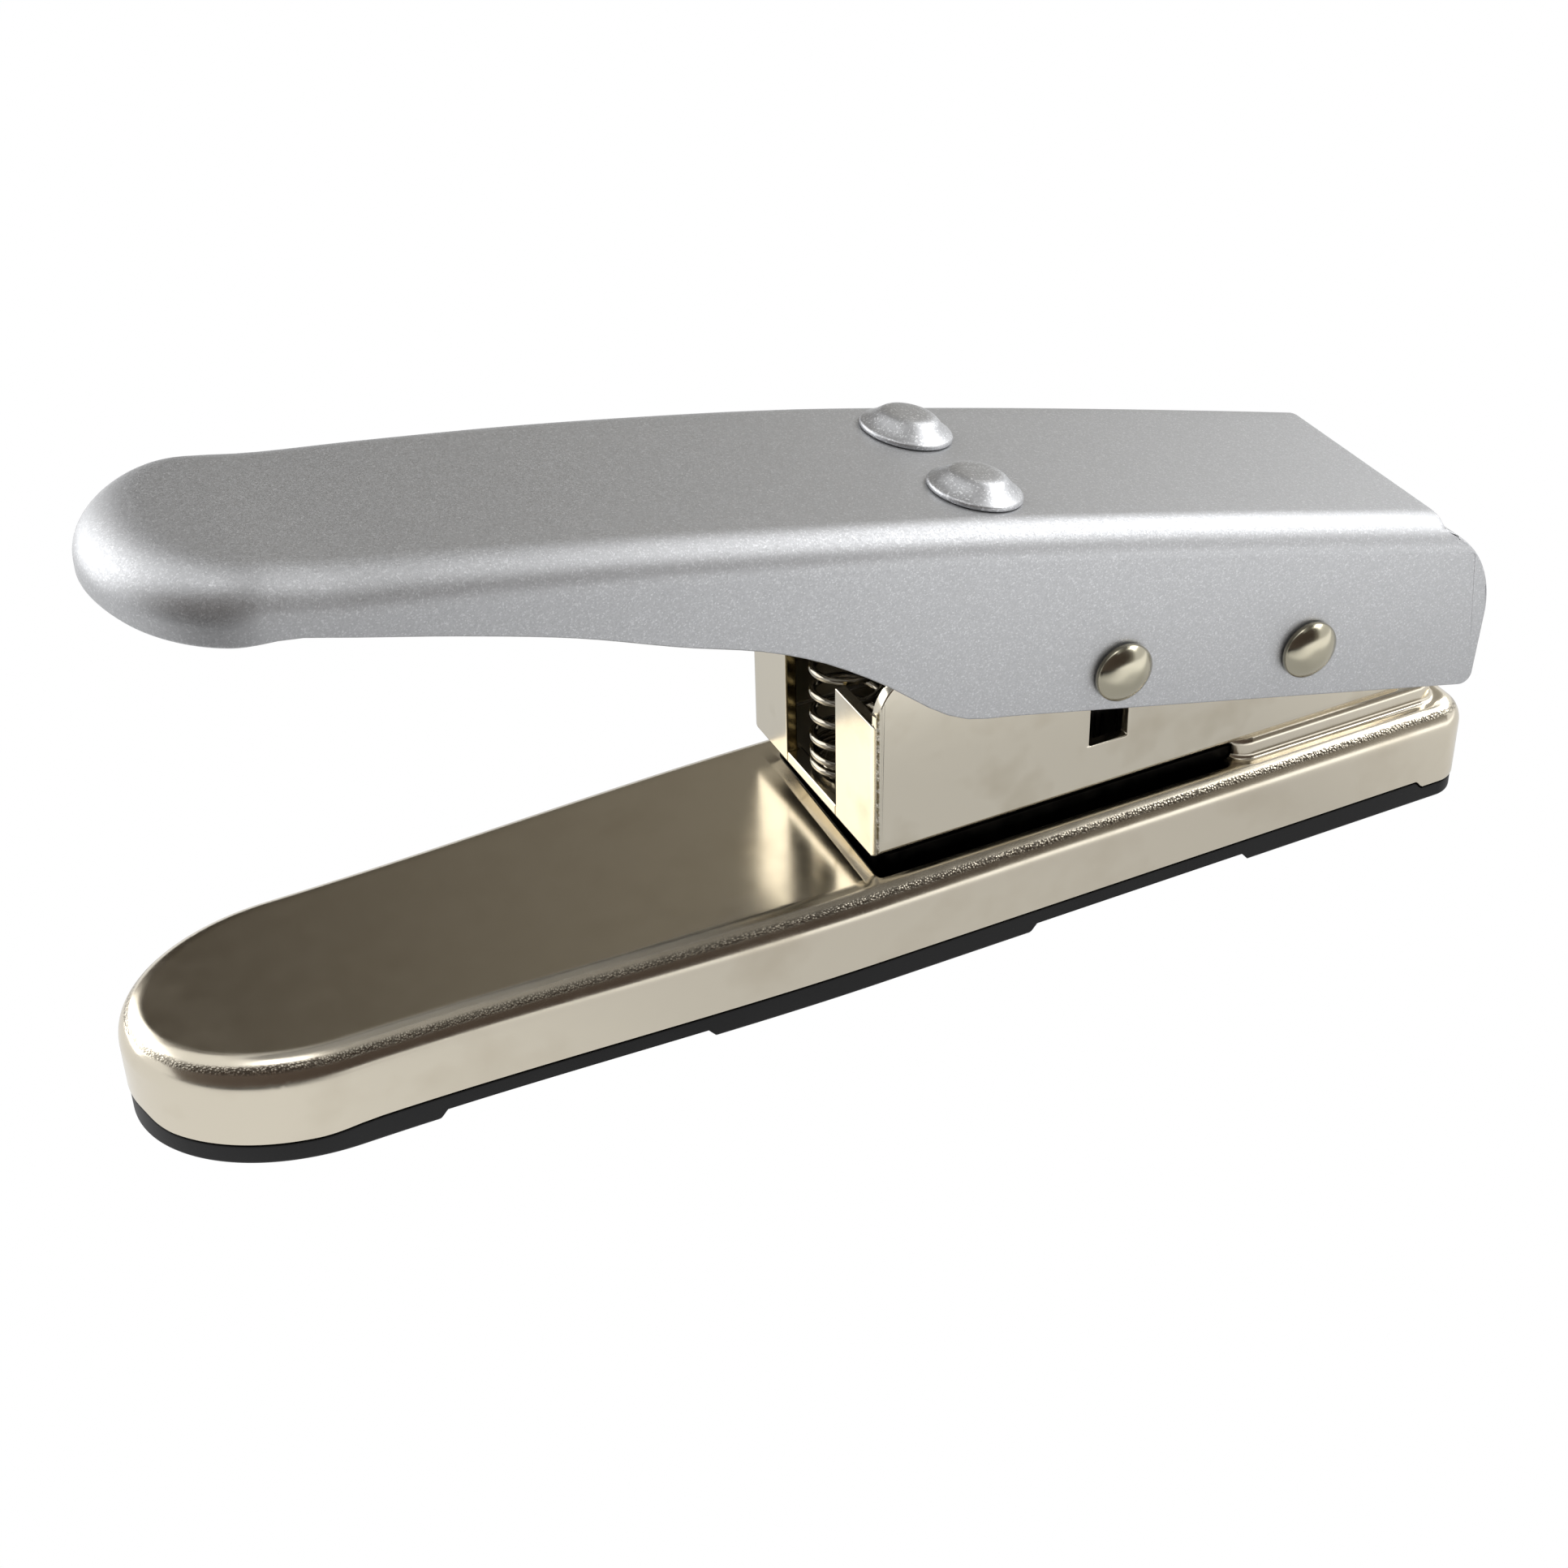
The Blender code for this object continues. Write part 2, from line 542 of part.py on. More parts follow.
def bent_channel(name, low, high, radius, material=None):
    """Block whose front upright edges and long bottom edges are rounded like bent sheet.

    A cutter is rounded along its front foot too, so that its inner corners close as balls.
    """
    bm = bmesh.new()
    bmesh.ops.create_cube(bm, size=1)
    size = Vector(high) - Vector(low)
    bmesh.ops.scale(bm, verts=bm.verts, vec=size)
    bmesh.ops.translate(bm, verts=bm.verts, vec=(Vector(high) + Vector(low)) / 2)
    bends = []
    for edge in bm.edges:
        a, b = (v.co for v in edge.verts)
        at_front = all(abs(p.x - low[0]) < WELD_DISTANCE for p in (a, b))
        at_foot = all(abs(p.z - low[2]) < WELD_DISTANCE for p in (a, b))
        lengthwise = abs(a.y - b.y) < WELD_DISTANCE
        if (at_front or at_foot) and lengthwise or (at_front and at_foot and material is None):
            bends.append(edge)
    bmesh.ops.bevel(bm, geom=bends, offset=radius, segments=EDGE_STEPS, profile=0.5, affect="EDGES",
                    clamp_overlap=False, material=-1)
    return finish_mesh(name, bm, material)


def make_die_frame():
    """Channel bent from sheet: floor with the pick hole, two cheeks with pin slots, two front tabs."""
    half = FRAME_WIDTH / 2
    inner = half - FRAME_SHEET
    above = FRAME_TOP + CUT_OVERRUN
    frame = bent_channel("die_frame", (0, -half, FRAME_BOTTOM),
                         (FRAME_LENGTH + CUT_OVERRUN / 2, half, above), FRAME_BEND_RADIUS, NICKEL)
    cut(frame, bent_channel("channel_hollow", (FRAME_SHEET, -inner, FRAME_FLOOR_TOP),
                            (FRAME_LENGTH + CUT_OVERRUN, inner, above + CUT_OVERRUN),
                            FRAME_BEND_RADIUS - FRAME_SHEET))
    side = outline_solid("frame_side_view", frame_side_outline(), -FRAME_WIDTH, FRAME_WIDTH, "XZ")
    cut(frame, side, "INTERSECT")
    cut(frame, box("tab_gap", (-CUT_OVERRUN, -TAB_GAP / 2, FRAME_FLOOR_TOP),
                   (FRAME_SHEET + CUT_OVERRUN, TAB_GAP / 2, above)))
    reach = FRAME_SHEET + CUT_OVERRUN
    gap = inner - PLATE_GAP / 2
    near = [(-CUT_OVERRUN, -FRAME_WIDTH), (CHEEK_FRONT_X, -FRAME_WIDTH), (CHEEK_FRONT_X, -gap), (reach, -gap)]
    trim = near + [(x, -y) for x, y in reversed(near)]
    cut(frame, outline_solid("tab_top_trim", trim, TAB_TOP, above + CUT_OVERRUN))
    cut(frame, outline_solid("frame_pick_hole", pick_outline(PLATE_GAP), FRAME_BOTTOM - CUT_OVERRUN,
                             FRAME_FLOOR_TOP + CUT_OVERRUN))
    slot_top = DRIVE_PIN_HEIGHT + PIN_RADIUS + PLATE_GAP
    cut(frame, box("pin_slots", (PIN_SLOT_X - PIN_SLOT_WIDTH / 2, -FRAME_WIDTH, PIN_SLOT_BOTTOM),
                   (PIN_SLOT_X + PIN_SLOT_WIDTH / 2, FRAME_WIDTH, slot_top)))
    cut(frame, cylinder("frame_pivot_holes", PIN_HOLE_RADIUS, -FRAME_WIDTH, FRAME_WIDTH,
                        (PIVOT_X, 0, PIVOT_HEIGHT), "Y"))
    for x, y, hole in frame_rivet_places():
        cut(frame, cylinder("frame_hole_" + hole, FRAME_RIVET_RADIUS + PLATE_GAP,
                            FRAME_BOTTOM - CUT_OVERRUN, FRAME_FLOOR_TOP + CUT_OVERRUN, (x, y, 0)))
    cut(frame, cylinder("stud_hole", STUD_SHANK_RADIUS + PLATE_GAP, FRAME_BOTTOM - CUT_OVERRUN,
                        FRAME_FLOOR_TOP + CUT_OVERRUN, (SPRING_X, 0, 0)))
    return frame


def make_die_plate():
    """Hardened plate with the plectrum hole, clamped under the pad and open to the window."""
    outline = rounded_rectangle(DIE_FRONT, DIE_REAR, DIE_WIDTH / 2, DIE_CORNER_RADIUS)
    plate = outline_solid("die_plate", outline, DIE_BOTTOM, DIE_TOP, material=BLACK_STEEL)
    cut(plate, outline_solid("die_pick_hole", pick_outline(PLATE_GAP), DIE_BOTTOM - CUT_OVERRUN,
                             DIE_TOP + CUT_OVERRUN))
    for x, y, hole in frame_rivet_places():
        cut(plate, cylinder("die_hole_" + hole, FRAME_RIVET_RADIUS + PLATE_GAP, DIE_BOTTOM - CUT_OVERRUN,
                            DIE_TOP + CUT_OVERRUN, (x, y, 0)))
    return plate


def make_punch():
    """Plectrum-shaped block hung on the drive pin by a cross slot."""
    low = FRAME_BOTTOM + PLATE_GAP
    punch = outline_solid("punch", pick_outline(0.0), low, PUNCH_TOP, material=TOOL_STEEL)
    half_height = PIN_RADIUS + PLATE_GAP
    slot_front = DRIVE_PIN_X - PLATE_GAP / 2 - PUNCH_SLOT_LENGTH / 2
    cut(punch, box("punch_slot", (slot_front, -FRAME_WIDTH, DRIVE_PIN_HEIGHT - half_height),
                   (slot_front + PUNCH_SLOT_LENGTH, FRAME_WIDTH, DRIVE_PIN_HEIGHT + half_height)))
    return punch


def dome_profile(radius, rim, dome):
    """Half of a domed head above its seat, from the crown to the rim's foot."""
    points = [(0.0, rim + dome)]
    for step in range(1, ARC_STEPS):
        angle = math.pi / 2 * (1 - step / ARC_STEPS)
        points.append((radius * math.cos(angle), rim + dome * math.sin(angle)))
    points.append((radius, rim))
    points.append((radius, 0.0))
    return points


def make_pin(name, x, height):
    """Pin across the handle with a domed head outside each cheek."""
    seat = HANDLE_WIDTH / 2 + PLATE_GAP
    head = dome_profile(PIN_HEAD_RADIUS, PIN_HEAD_RIM, PIN_HEAD_DOME)
    upper = [(radius, seat + z) for radius, z in head] + [(PIN_RADIUS, seat)]
    lower = [(radius, -z) for radius, z in reversed(upper)]
    pin = turned(name, upper + lower, NICKEL)
    pin.rotation_euler = (math.pi / 2, 0, 0)
    pin.location = (x, 0, height)
    return pin


def make_frame_rivets():
    """Four rivets that clamp the frame's floor, the pad and the die plate."""
    seat = FRAME_FLOOR_TOP + PLATE_GAP
    foot = DIE_BOTTOM - PLATE_GAP
    head = dome_profile(FRAME_RIVET_HEAD_RADIUS, 0.0, FRAME_RIVET_HEAD_HEIGHT)[:-1]
    profile = [(radius, seat + z) for radius, z in head]
    profile += [(FRAME_RIVET_RADIUS, seat), (FRAME_RIVET_RADIUS, foot), (FRAME_RIVET_HEAD_RADIUS, foot),
                (FRAME_RIVET_HEAD_RADIUS, foot - FRAME_RIVET_CLENCH), (0.0, foot - FRAME_RIVET_CLENCH)]
    for x, y, place in frame_rivet_places():
        rivet = turned("frame_rivet_" + place, profile, NICKEL)
        rivet.location = (x, y, 0)


def top_line(x):
    """Height of the handle's top surface over a place along its length."""
    return HANDLE_RISE * read_line(TOP_LINE_SHARES, (x - HANDLE_NOSE_X) / HANDLE_LENGTH)


def handle_half_width(x):
    """Half-width of the handle, tapering towards the nose."""
    taper = HANDLE_TAPER * (max(-x, 0.0) / (HANDLE_NOSE_LENGTH - HANDLE_NOSE_X)) ** HANDLE_TAPER_POWER_SHARE
    return HANDLE_WIDTH / 2 - taper


def handle_plan():
    """Near half of the handle's plan, from the rear end to the middle of the nose."""
    nose_start = HANDLE_NOSE_X + HANDLE_NOSE_LENGTH
    rear = HANDLE_REAR_X + CUT_OVERRUN
    plan = []
    for step in range(HANDLE_STATIONS):
        x = rear + (nose_start - rear) * step / HANDLE_STATIONS
        plan.append(Vector((x, -handle_half_width(x))))
    for step in range(NOSE_STEPS + 1):
        angle = math.pi / 2 * step / NOSE_STEPS
        x = nose_start - HANDLE_NOSE_LENGTH * math.sin(angle)
        plan.append(Vector((x, -handle_half_width(x) * math.cos(angle))))
    return plan


def handle_rings():
    """Outlines of the near half of the handle from its lower edge up to the flat top."""
    plan = handle_plan()
    skirt_foot = EAR_FOOT_HEIGHT - CUT_OVERRUN
    rings = [[] for step in range(EDGE_STEPS + 2)]
    for index, place in enumerate(plan):
        if index == 0:
            along = plan[1] - place
        elif index == len(plan) - 1:
            along = Vector((0, 1))
        else:
            along = plan[index + 1] - plan[index - 1]
        inward = Vector((-along.y, along.x)).normalized()
        if inward.dot(Vector((0, 1))) < 0 and index < len(plan) - 1:
            inward.negate()
        if index == len(plan) - 1:
            inward = Vector((1, 0))
        front = smoothstep(-place.x / (HANDLE_NOSE_LENGTH - HANDLE_NOSE_X))
        nose = inward.x ** 2
        side_edge = HANDLE_SIDE_EDGE + (HANDLE_FRONT_EDGE - HANDLE_SIDE_EDGE) * front
        edge_in = side_edge + (HANDLE_NOSE_EDGE - side_edge) * nose
        edge_down = side_edge + (HANDLE_NOSE_DROP - side_edge) * nose
        rings[0].append(Vector((place.x, place.y, skirt_foot)))
        for step in range(EDGE_STEPS + 1):
            angle = math.pi / 2 * step / EDGE_STEPS
            spot = place + inward * edge_in * (1 - math.cos(angle))
            height = top_line(spot.x) - edge_down * (1 - math.sin(angle))
            rings[step + 1].append(Vector((spot.x, spot.y, height)))
    return rings


def handle_side_outline():
    """Side view of the handle: lower line, ear foot, round ear and the end of the top sheet."""
    sky = HANDLE_RISE * TOP_LINE_SHARES[0][1] + CUT_OVERRUN
    front = HANDLE_NOSE_X - CUT_OVERRUN
    points = [(front, sky), (front, HANDLE_RISE * LOWER_LINE_SHARES[0][1])]
    for low, high in zip(LOWER_LINE_SHARES, LOWER_LINE_SHARES[1:]):
        long_stretch = high[0] - low[0] > LOWER_LINE_SHARES[1][0]
        for step in range(LOWER_LINE_STEPS if long_stretch else 1):
            share = low[0] + (high[0] - low[0]) * step / LOWER_LINE_STEPS
            height = HANDLE_RISE * read_line(LOWER_LINE_SHARES, share)
            points.append((HANDLE_NOSE_X + HANDLE_LENGTH * share, height))
    share, height = LOWER_LINE_SHARES[-1]
    points.append((HANDLE_NOSE_X + HANDLE_LENGTH * share, HANDLE_RISE * height))
    foot_x = HANDLE_REAR_X - EAR_FOOT_SETBACK - EAR_FOOT_RADIUS
    points += arc(foot_x, EAR_FOOT_HEIGHT + EAR_FOOT_RADIUS, EAR_FOOT_RADIUS, EAR_FOOT_START_DEGREES, 360)
    centre_x = HANDLE_REAR_X - EAR_RADIUS
    end_angle = math.degrees(math.acos((HANDLE_TOP_SHEET_END - centre_x) / EAR_RADIUS))
    points += arc(centre_x, EAR_CENTRE_HEIGHT, EAR_RADIUS, 0, end_angle)
    points.append((HANDLE_TOP_SHEET_END, sky))
    return points


def make_handle():
    """Painted channel handle: a lofted skin with Solidify, trimmed to its side view and drilled."""
    bm = bmesh.new()
    rings = handle_rings()
    skin = []
    for ring in rings:
        near = [bm.verts.new(spot) for spot in ring]
        far = [bm.verts.new((spot.x, -spot.y, spot.z)) for spot in ring[:-1]]
        skin.append((near, far))
    for low, high in zip(skin, skin[1:]):
        near_line = [*low[0]], [*high[0]]
        far_line = [*low[1], low[0][-1]], [*high[1], high[0][-1]]
        for a, b in (near_line, far_line):
            for i in range(len(a) - 1):
                bm.faces.new((a[i], a[i + 1], b[i + 1], b[i]))
    near, far = skin[-1]
    for i in range(len(far) - 1):
        bm.faces.new((near[i], near[i + 1], far[i + 1], far[i]))
    bm.faces.new((near[-2], near[-1], far[-1]))
    handle = finish_mesh("handle", bm, SILVER_PAINT)
    if handle.data.polygons[-1].normal.z < 0:
        handle.data.flip_normals()
    wall = handle.modifiers.new("sheet", "SOLIDIFY")
    wall.thickness = HANDLE_SHEET
    wall.offset = -1
    wall.use_even_offset = True
    side = outline_solid("handle_side_view", handle_side_outline(), -HANDLE_WIDTH, HANDLE_WIDTH, "XZ")
    cut(handle, side, "INTERSECT")
    for x, height, pin in ((PIVOT_X, PIVOT_HEIGHT, "pivot"), (DRIVE_PIN_X, DRIVE_PIN_HEIGHT, "drive")):
        cut(handle, cylinder("handle_%s_holes" % pin, PIN_HOLE_RADIUS, -HANDLE_WIDTH, HANDLE_WIDTH,
                             (x, 0, height), "Y"))
    for y, name in ((-TOP_RIVET_Y, "near"), (TOP_RIVET_Y, "far")):
        hole = cylinder("handle_top_hole_" + name, TOP_RIVET_RADIUS + PLATE_GAP, -HANDLE_SIDE_EDGE,
                        HANDLE_SIDE_EDGE, (0, 0, 0))
        hold_under_top(hole, y)
        cut(handle, hole)
    return handle


def top_slope():
    """Tilt of the handle's top at the rivets, as an angle about the Y axis."""
    step = TOP_RIVET_RADIUS
    drop = top_line(TOP_RIVET_X - step) - top_line(TOP_RIVET_X + step)
    return math.atan2(drop, 2 * step)


def hold_under_top(item, y):
    """Seat an item on the handle's top at the rivets, square to the sheet."""
    item.location = (TOP_RIVET_X, y, top_line(TOP_RIVET_X))
    item.rotation_euler = (0, top_slope(), 0)


def make_top_rivets():
    """Two painted rivets through the handle's top and the spring retainer."""
    head_seat = PLATE_GAP
    clench = -HANDLE_SHEET - 2 * PLATE_GAP - RETAINER_SHEET - PLATE_GAP
    profile = [
        (0.0, head_seat + TOP_RIVET_HEIGHT),
        (TOP_RIVET_FLAT_RADIUS, head_seat + TOP_RIVET_HEIGHT),
        (TOP_RIVET_FLAT_RADIUS + TOP_RIVET_RIM, head_seat + TOP_RIVET_HEIGHT - TOP_RIVET_RIM / 2),
        (TOP_RIVET_HEAD_RADIUS, head_seat + TOP_RIVET_RIM),
        (TOP_RIVET_HEAD_RADIUS, head_seat),
        (TOP_RIVET_RADIUS, head_seat),
        (TOP_RIVET_RADIUS, clench),
        (TOP_RIVET_CLENCH_RADIUS, clench),
        (TOP_RIVET_CLENCH_RADIUS, clench - TOP_RIVET_CLENCH),
        (0.0, clench - TOP_RIVET_CLENCH),
    ]
    for y, name in ((-TOP_RIVET_Y, "near"), (TOP_RIVET_Y, "far")):
        hold_under_top(turned("top_rivet_" + name, profile, SILVER_PAINT), y)


def spring_top_place():
    """Middle of the spring's upper end, under the retainer and square to it."""
    slope = top_slope()
    normal = Vector((math.sin(slope), 0, math.cos(slope)))
    ahead = Vector((-math.cos(slope), 0, math.sin(slope)))
    depth = HANDLE_SHEET + 2 * PLATE_GAP + RETAINER_SHEET + SPRING_END_GAP + SPRING_WIRE / 2
    rivet = Vector((TOP_RIVET_X, 0, top_line(TOP_RIVET_X)))
    reach = RETAINER_LENGTH - RETAINER_REAR_MARGIN - SPRING_RADIUS - RETAINER_CORNER_RADIUS
    return rivet - normal * depth + ahead * reach, normal, reach


def make_spring_retainer():
    """Plate riveted under the handle's top, with a boss that centres the spring."""
    low = -HANDLE_SHEET - 2 * PLATE_GAP - RETAINER_SHEET
    rear = RETAINER_REAR_MARGIN
    outline = rounded_rectangle(rear - RETAINER_LENGTH, rear, RETAINER_WIDTH / 2, RETAINER_CORNER_RADIUS)
    plate = outline_solid("spring_retainer", outline, low, low + RETAINER_SHEET, material=NICKEL)
    hold_under_top(plate, 0)
    reach = spring_top_place()[2]
    boss_radius = SPRING_RADIUS - SPRING_WIRE / 2 - 2 * PLATE_GAP
    boss = cylinder("retainer_boss", boss_radius, low - RETAINER_BOSS_HEIGHT, low + RETAINER_SHEET / 2,
                    (-reach, 0, 0))
    hold_under_top(boss, 0)
    cut(plate, boss, "UNION")
    for y, name in ((-TOP_RIVET_Y, "near"), (TOP_RIVET_Y, "far")):
        hole = cylinder("retainer_hole_" + name, TOP_RIVET_RADIUS + PLATE_GAP, low - CUT_OVERRUN, 0.0,
                        (0, 0, 0))
        hold_under_top(hole, y)
        cut(plate, hole)
    return plate


def make_spring_stud():
    """Short stud riveted flush in the frame's floor, inside the spring's lowest turns."""
    seat = FRAME_FLOOR_TOP + PLATE_GAP
    radius = SPRING_RADIUS - SPRING_WIRE / 2 - PLATE_GAP
    profile = [
        (0.0, seat + STUD_HEAD_HEIGHT),
        (radius - STUD_HEAD_HEIGHT / 2, seat + STUD_HEAD_HEIGHT),
        (radius, seat + STUD_HEAD_HEIGHT / 2),
        (radius, seat),
        (STUD_SHANK_RADIUS, seat),
        (STUD_SHANK_RADIUS, FRAME_BOTTOM + WELD_DISTANCE),
        (0.0, FRAME_BOTTOM + WELD_DISTANCE),
    ]
    turned("spring_stud", profile, NICKEL).location = (SPRING_X, 0, 0)


def spring_path():
    """Centre line of the wire: close turns at both ends, open turns between, on a bowed axis."""
    foot = Vector((SPRING_X, 0, FRAME_FLOOR_TOP + PLATE_GAP + SPRING_WIRE / 2))
    head, normal, _ = spring_top_place()
    rise = head - foot
    dead = SPRING_DEAD_TURNS * SPRING_DEAD_PITCH / rise.length
    steps = SPRING_TURNS * SPRING_POINTS_PER_TURN
    points = []
    for step in range(steps + 1):
        turns = step / SPRING_POINTS_PER_TURN
        open_turns = SPRING_TURNS - 2 * SPRING_DEAD_TURNS
        if turns < SPRING_DEAD_TURNS:
            share = dead * turns / SPRING_DEAD_TURNS
        elif turns > SPRING_TURNS - SPRING_DEAD_TURNS:
            share = 1 - dead * (SPRING_TURNS - turns) / SPRING_DEAD_TURNS
        else:
            share = dead + (1 - 2 * dead) * (turns - SPRING_DEAD_TURNS) / open_turns
        bowed = share + (smoothstep(share) - share) * SPRING_BOW_SHARE
        middle = foot + Vector((rise.x * bowed, 0, rise.z * share))
        lean = math.atan2(normal.x, normal.z) * smoothstep(share)
        angle = 2 * math.pi * turns
        across = Vector((math.cos(lean), 0, -math.sin(lean)))
        points.append(middle + (across * math.cos(angle) + Vector((0, math.sin(angle), 0))) * SPRING_RADIUS)
    return points


def least_self_gap(points):
    """Smallest free distance between two turns of the wire."""
    least = None
    apart = SPRING_POINTS_PER_TURN // 2
    for i, place in enumerate(points):
        for other in points[i + apart:i + 2 * SPRING_POINTS_PER_TURN]:
            gap = (place - other).length - SPRING_WIRE
            least = gap if least is None else min(least, gap)
    return least


def make_return_spring():
    """Compression spring of one unbroken wire between the stud and the retainer."""
    points = spring_path()
    print("return spring: least gap between turns %.2f mm" % (least_self_gap(points) / MM))
    curve = bpy.data.curves.new("return_spring", "CURVE")
    curve.dimensions = "3D"
    curve.bevel_depth = SPRING_WIRE / 2
    curve.bevel_resolution = 1
    curve.use_fill_caps = True
    spline = curve.splines.new("POLY")
    spline.points.add(len(points) - 1)
    for point, place in zip(spline.points, points):
        point.co = (*place, 1.0)
    curve.materials.append(SPRING_STEEL)
    spring = bpy.data.objects.new("return_spring", curve)
    PARTS.objects.link(spring)
    weld = spring.modifiers.new("weld", "WELD")
    weld.merge_threshold = WELD_DISTANCE
    return spring


def hang_on(pivot_name, place, names):
    """Parent moving pieces to an empty on their joint's axis, without moving them."""
    pivot = bpy.data.objects.new(pivot_name, None)
    pivot.location = place
    PARTS.objects.link(pivot)
    for name in names:
        item = bpy.data.objects[name]
        item.parent = pivot
        item.matrix_parent_inverse = Matrix.Translation(place).inverted()


make_base_shell()
make_bottom_cover()
make_die_frame()
make_die_plate()
make_frame_rivets()
make_spring_stud()
make_punch()
make_pin("pivot_pin", PIVOT_X, PIVOT_HEIGHT)
make_pin("drive_pin", DRIVE_PIN_X, DRIVE_PIN_HEIGHT)
make_handle()
make_spring_retainer()
make_top_rivets()
make_return_spring()

hang_on("handle_axis", Vector((PIVOT_X, 0, PIVOT_HEIGHT)),
        ("handle", "spring_retainer", "top_rivet_near", "top_rivet_far", "pivot_pin", "drive_pin"))
hang_on("punch_axis", Vector((PICK_X, 0, FRAME_BOTTOM)), ("punch",))
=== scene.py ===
# %% [markdown]
# # A guitar pick punch, dressed for its portrait
#
# The tool is a small lever press. A silver painted handle turns on a pin at the rear, a second pin drives
# a plectrum-shaped punch down through a die, and one coil spring opens the handle again. The imported model
# gives every part its place. This lesson builds a finer skin over each part and gives it a finish.
# First the frame is loaded, and each part is moved into world coordinates.

# %% Load the frame
import math

import bmesh
import bpy
from mathutils import Matrix, Vector


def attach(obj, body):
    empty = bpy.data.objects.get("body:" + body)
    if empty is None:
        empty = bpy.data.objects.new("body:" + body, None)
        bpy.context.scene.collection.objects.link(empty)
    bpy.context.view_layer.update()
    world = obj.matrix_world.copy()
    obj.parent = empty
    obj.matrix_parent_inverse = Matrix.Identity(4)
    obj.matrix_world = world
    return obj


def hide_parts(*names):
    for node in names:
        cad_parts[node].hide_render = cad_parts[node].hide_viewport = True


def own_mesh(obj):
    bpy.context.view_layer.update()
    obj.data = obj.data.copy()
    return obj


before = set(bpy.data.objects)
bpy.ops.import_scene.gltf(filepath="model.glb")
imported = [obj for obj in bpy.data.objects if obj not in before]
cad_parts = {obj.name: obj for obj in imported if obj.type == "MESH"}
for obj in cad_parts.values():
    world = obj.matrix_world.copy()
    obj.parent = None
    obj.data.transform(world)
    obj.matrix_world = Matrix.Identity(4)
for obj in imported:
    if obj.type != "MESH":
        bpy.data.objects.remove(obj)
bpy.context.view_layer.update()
MM = 0.001

# %% [markdown]
# ## Colours and nodes
#
# Colours are written as the hex codes that a colour picker gives, which are in sRGB. Blender's nodes work
# in linear light, so one function turns each code. A second small function adds a node to a material, with
# its settings and its links, so that each finish below reads as a short list.

# %% Colour and node helpers
def linear(code):
    """An sRGB hex colour as linear red, green, blue and alpha."""
    shares = [int(code[i:i + 2], 16) / 255 for i in (1, 3, 5)]
    return (*[s / 12.92 if s <= 0.04045 else ((s + 0.055) / 1.055) ** 2.4 for s in shares], 1.0)


def add_node(tree, kind, inputs=None, stops=(), **settings):
    """Add a node; an input takes a plain value or another node's output, and stops fill a colour ramp."""
    made = tree.nodes.new(kind)
    for name, value in settings.items():
        setattr(made, name, value)
    for name, value in (inputs or {}).items():
        if isinstance(value, bpy.types.NodeSocket):
            tree.links.new(value, made.inputs[name])
        else:
            made.inputs[name].default_value = value
    while stops and len(made.color_ramp.elements) < len(stops):
        made.color_ramp.elements.new(1.0)
    for point, (position, tone) in zip(made.color_ramp.elements if stops else (), stops):
        point.position = position
        point.color = tone if isinstance(tone, tuple) else (tone, tone, tone, 1.0)
    return made


def new_finish(name):
    """A material with an empty tree, its Principled shader and its Object coordinates."""
    material = bpy.data.materials.new(name)
    material.use_nodes = True
    tree = material.node_tree
    shader = tree.nodes["Principled BSDF"]
    place = add_node(tree, "ShaderNodeTexCoord").outputs["Object"]
    return material, tree, shader, place


print("nickel's #D9D1C0 in linear light:", [round(share, 3) for share in linear("#D9D1C0")])

# %% [markdown]
# ## Satin nickel plate
#
# The base, the die frame and the pins are steel plated with nickel. Nickel is a warm, slightly yellow metal.
# Where the press has bent the sheet, its surface roughens into fine pebbles of about 0.3 mm, which break up
# the highlight; the flat stretches stay smooth enough for soft mirror images. A mask keeps the pebbles to
# the bends: it is read from the place on the piece, because the press bends each piece at known heights.
# Painting the mask on vertices would work too, but it would have to be redone whenever a mesh changes.

# %% Masks for bends and sheared edges
def band(tree, value, *edges):
    """One between the two middle edges in millimetres, falling to zero at the two outer ones."""
    low, full_low, full_high, high = [edge * MM for edge in edges]
    rising = add_node(tree, "ShaderNodeMapRange", {"Value": value, "From Min": low, "From Max": full_low})
    falling = add_node(tree, "ShaderNodeMapRange", {"Value": value, "From Min": full_high, "From Max": high,
                                                    "To Min": 1.0, "To Max": 0.0})
    return add_node(tree, "ShaderNodeMath", {0: rising.outputs[0], 1: falling.outputs[0]},
                    operation="MULTIPLY").outputs[0]


def tray_bend(tree, place):
    """One on a narrow stretch of the tray's round edge, where the sheet was stretched most."""
    return band(tree, add_node(tree, "ShaderNodeSeparateXYZ", {"Vector": place}).outputs["Z"],
                12.7, 12.95, 13.3, 13.55)


def at_front(tree, place, along_edges, outward_edges):
    """One on a strip of the frame's front, between two places along X and two distances from the middle."""
    axes = add_node(tree, "ShaderNodeSeparateXYZ", {"Vector": place})
    outward = add_node(tree, "ShaderNodeMath", {0: axes.outputs["Y"]}, operation="ABSOLUTE").outputs[0]
    return add_node(tree, "ShaderNodeMath", {0: band(tree, axes.outputs["X"], *along_edges),
                                             1: band(tree, outward, *outward_edges)},
                    operation="MULTIPLY").outputs[0]


def corner_line(tree, place):
    """One along the bend between the frame's front tabs and its cheeks."""
    return at_front(tree, place, (0.05, 0.2, 0.45, 0.6), (16.5, 16.6, 16.9, 17.0))


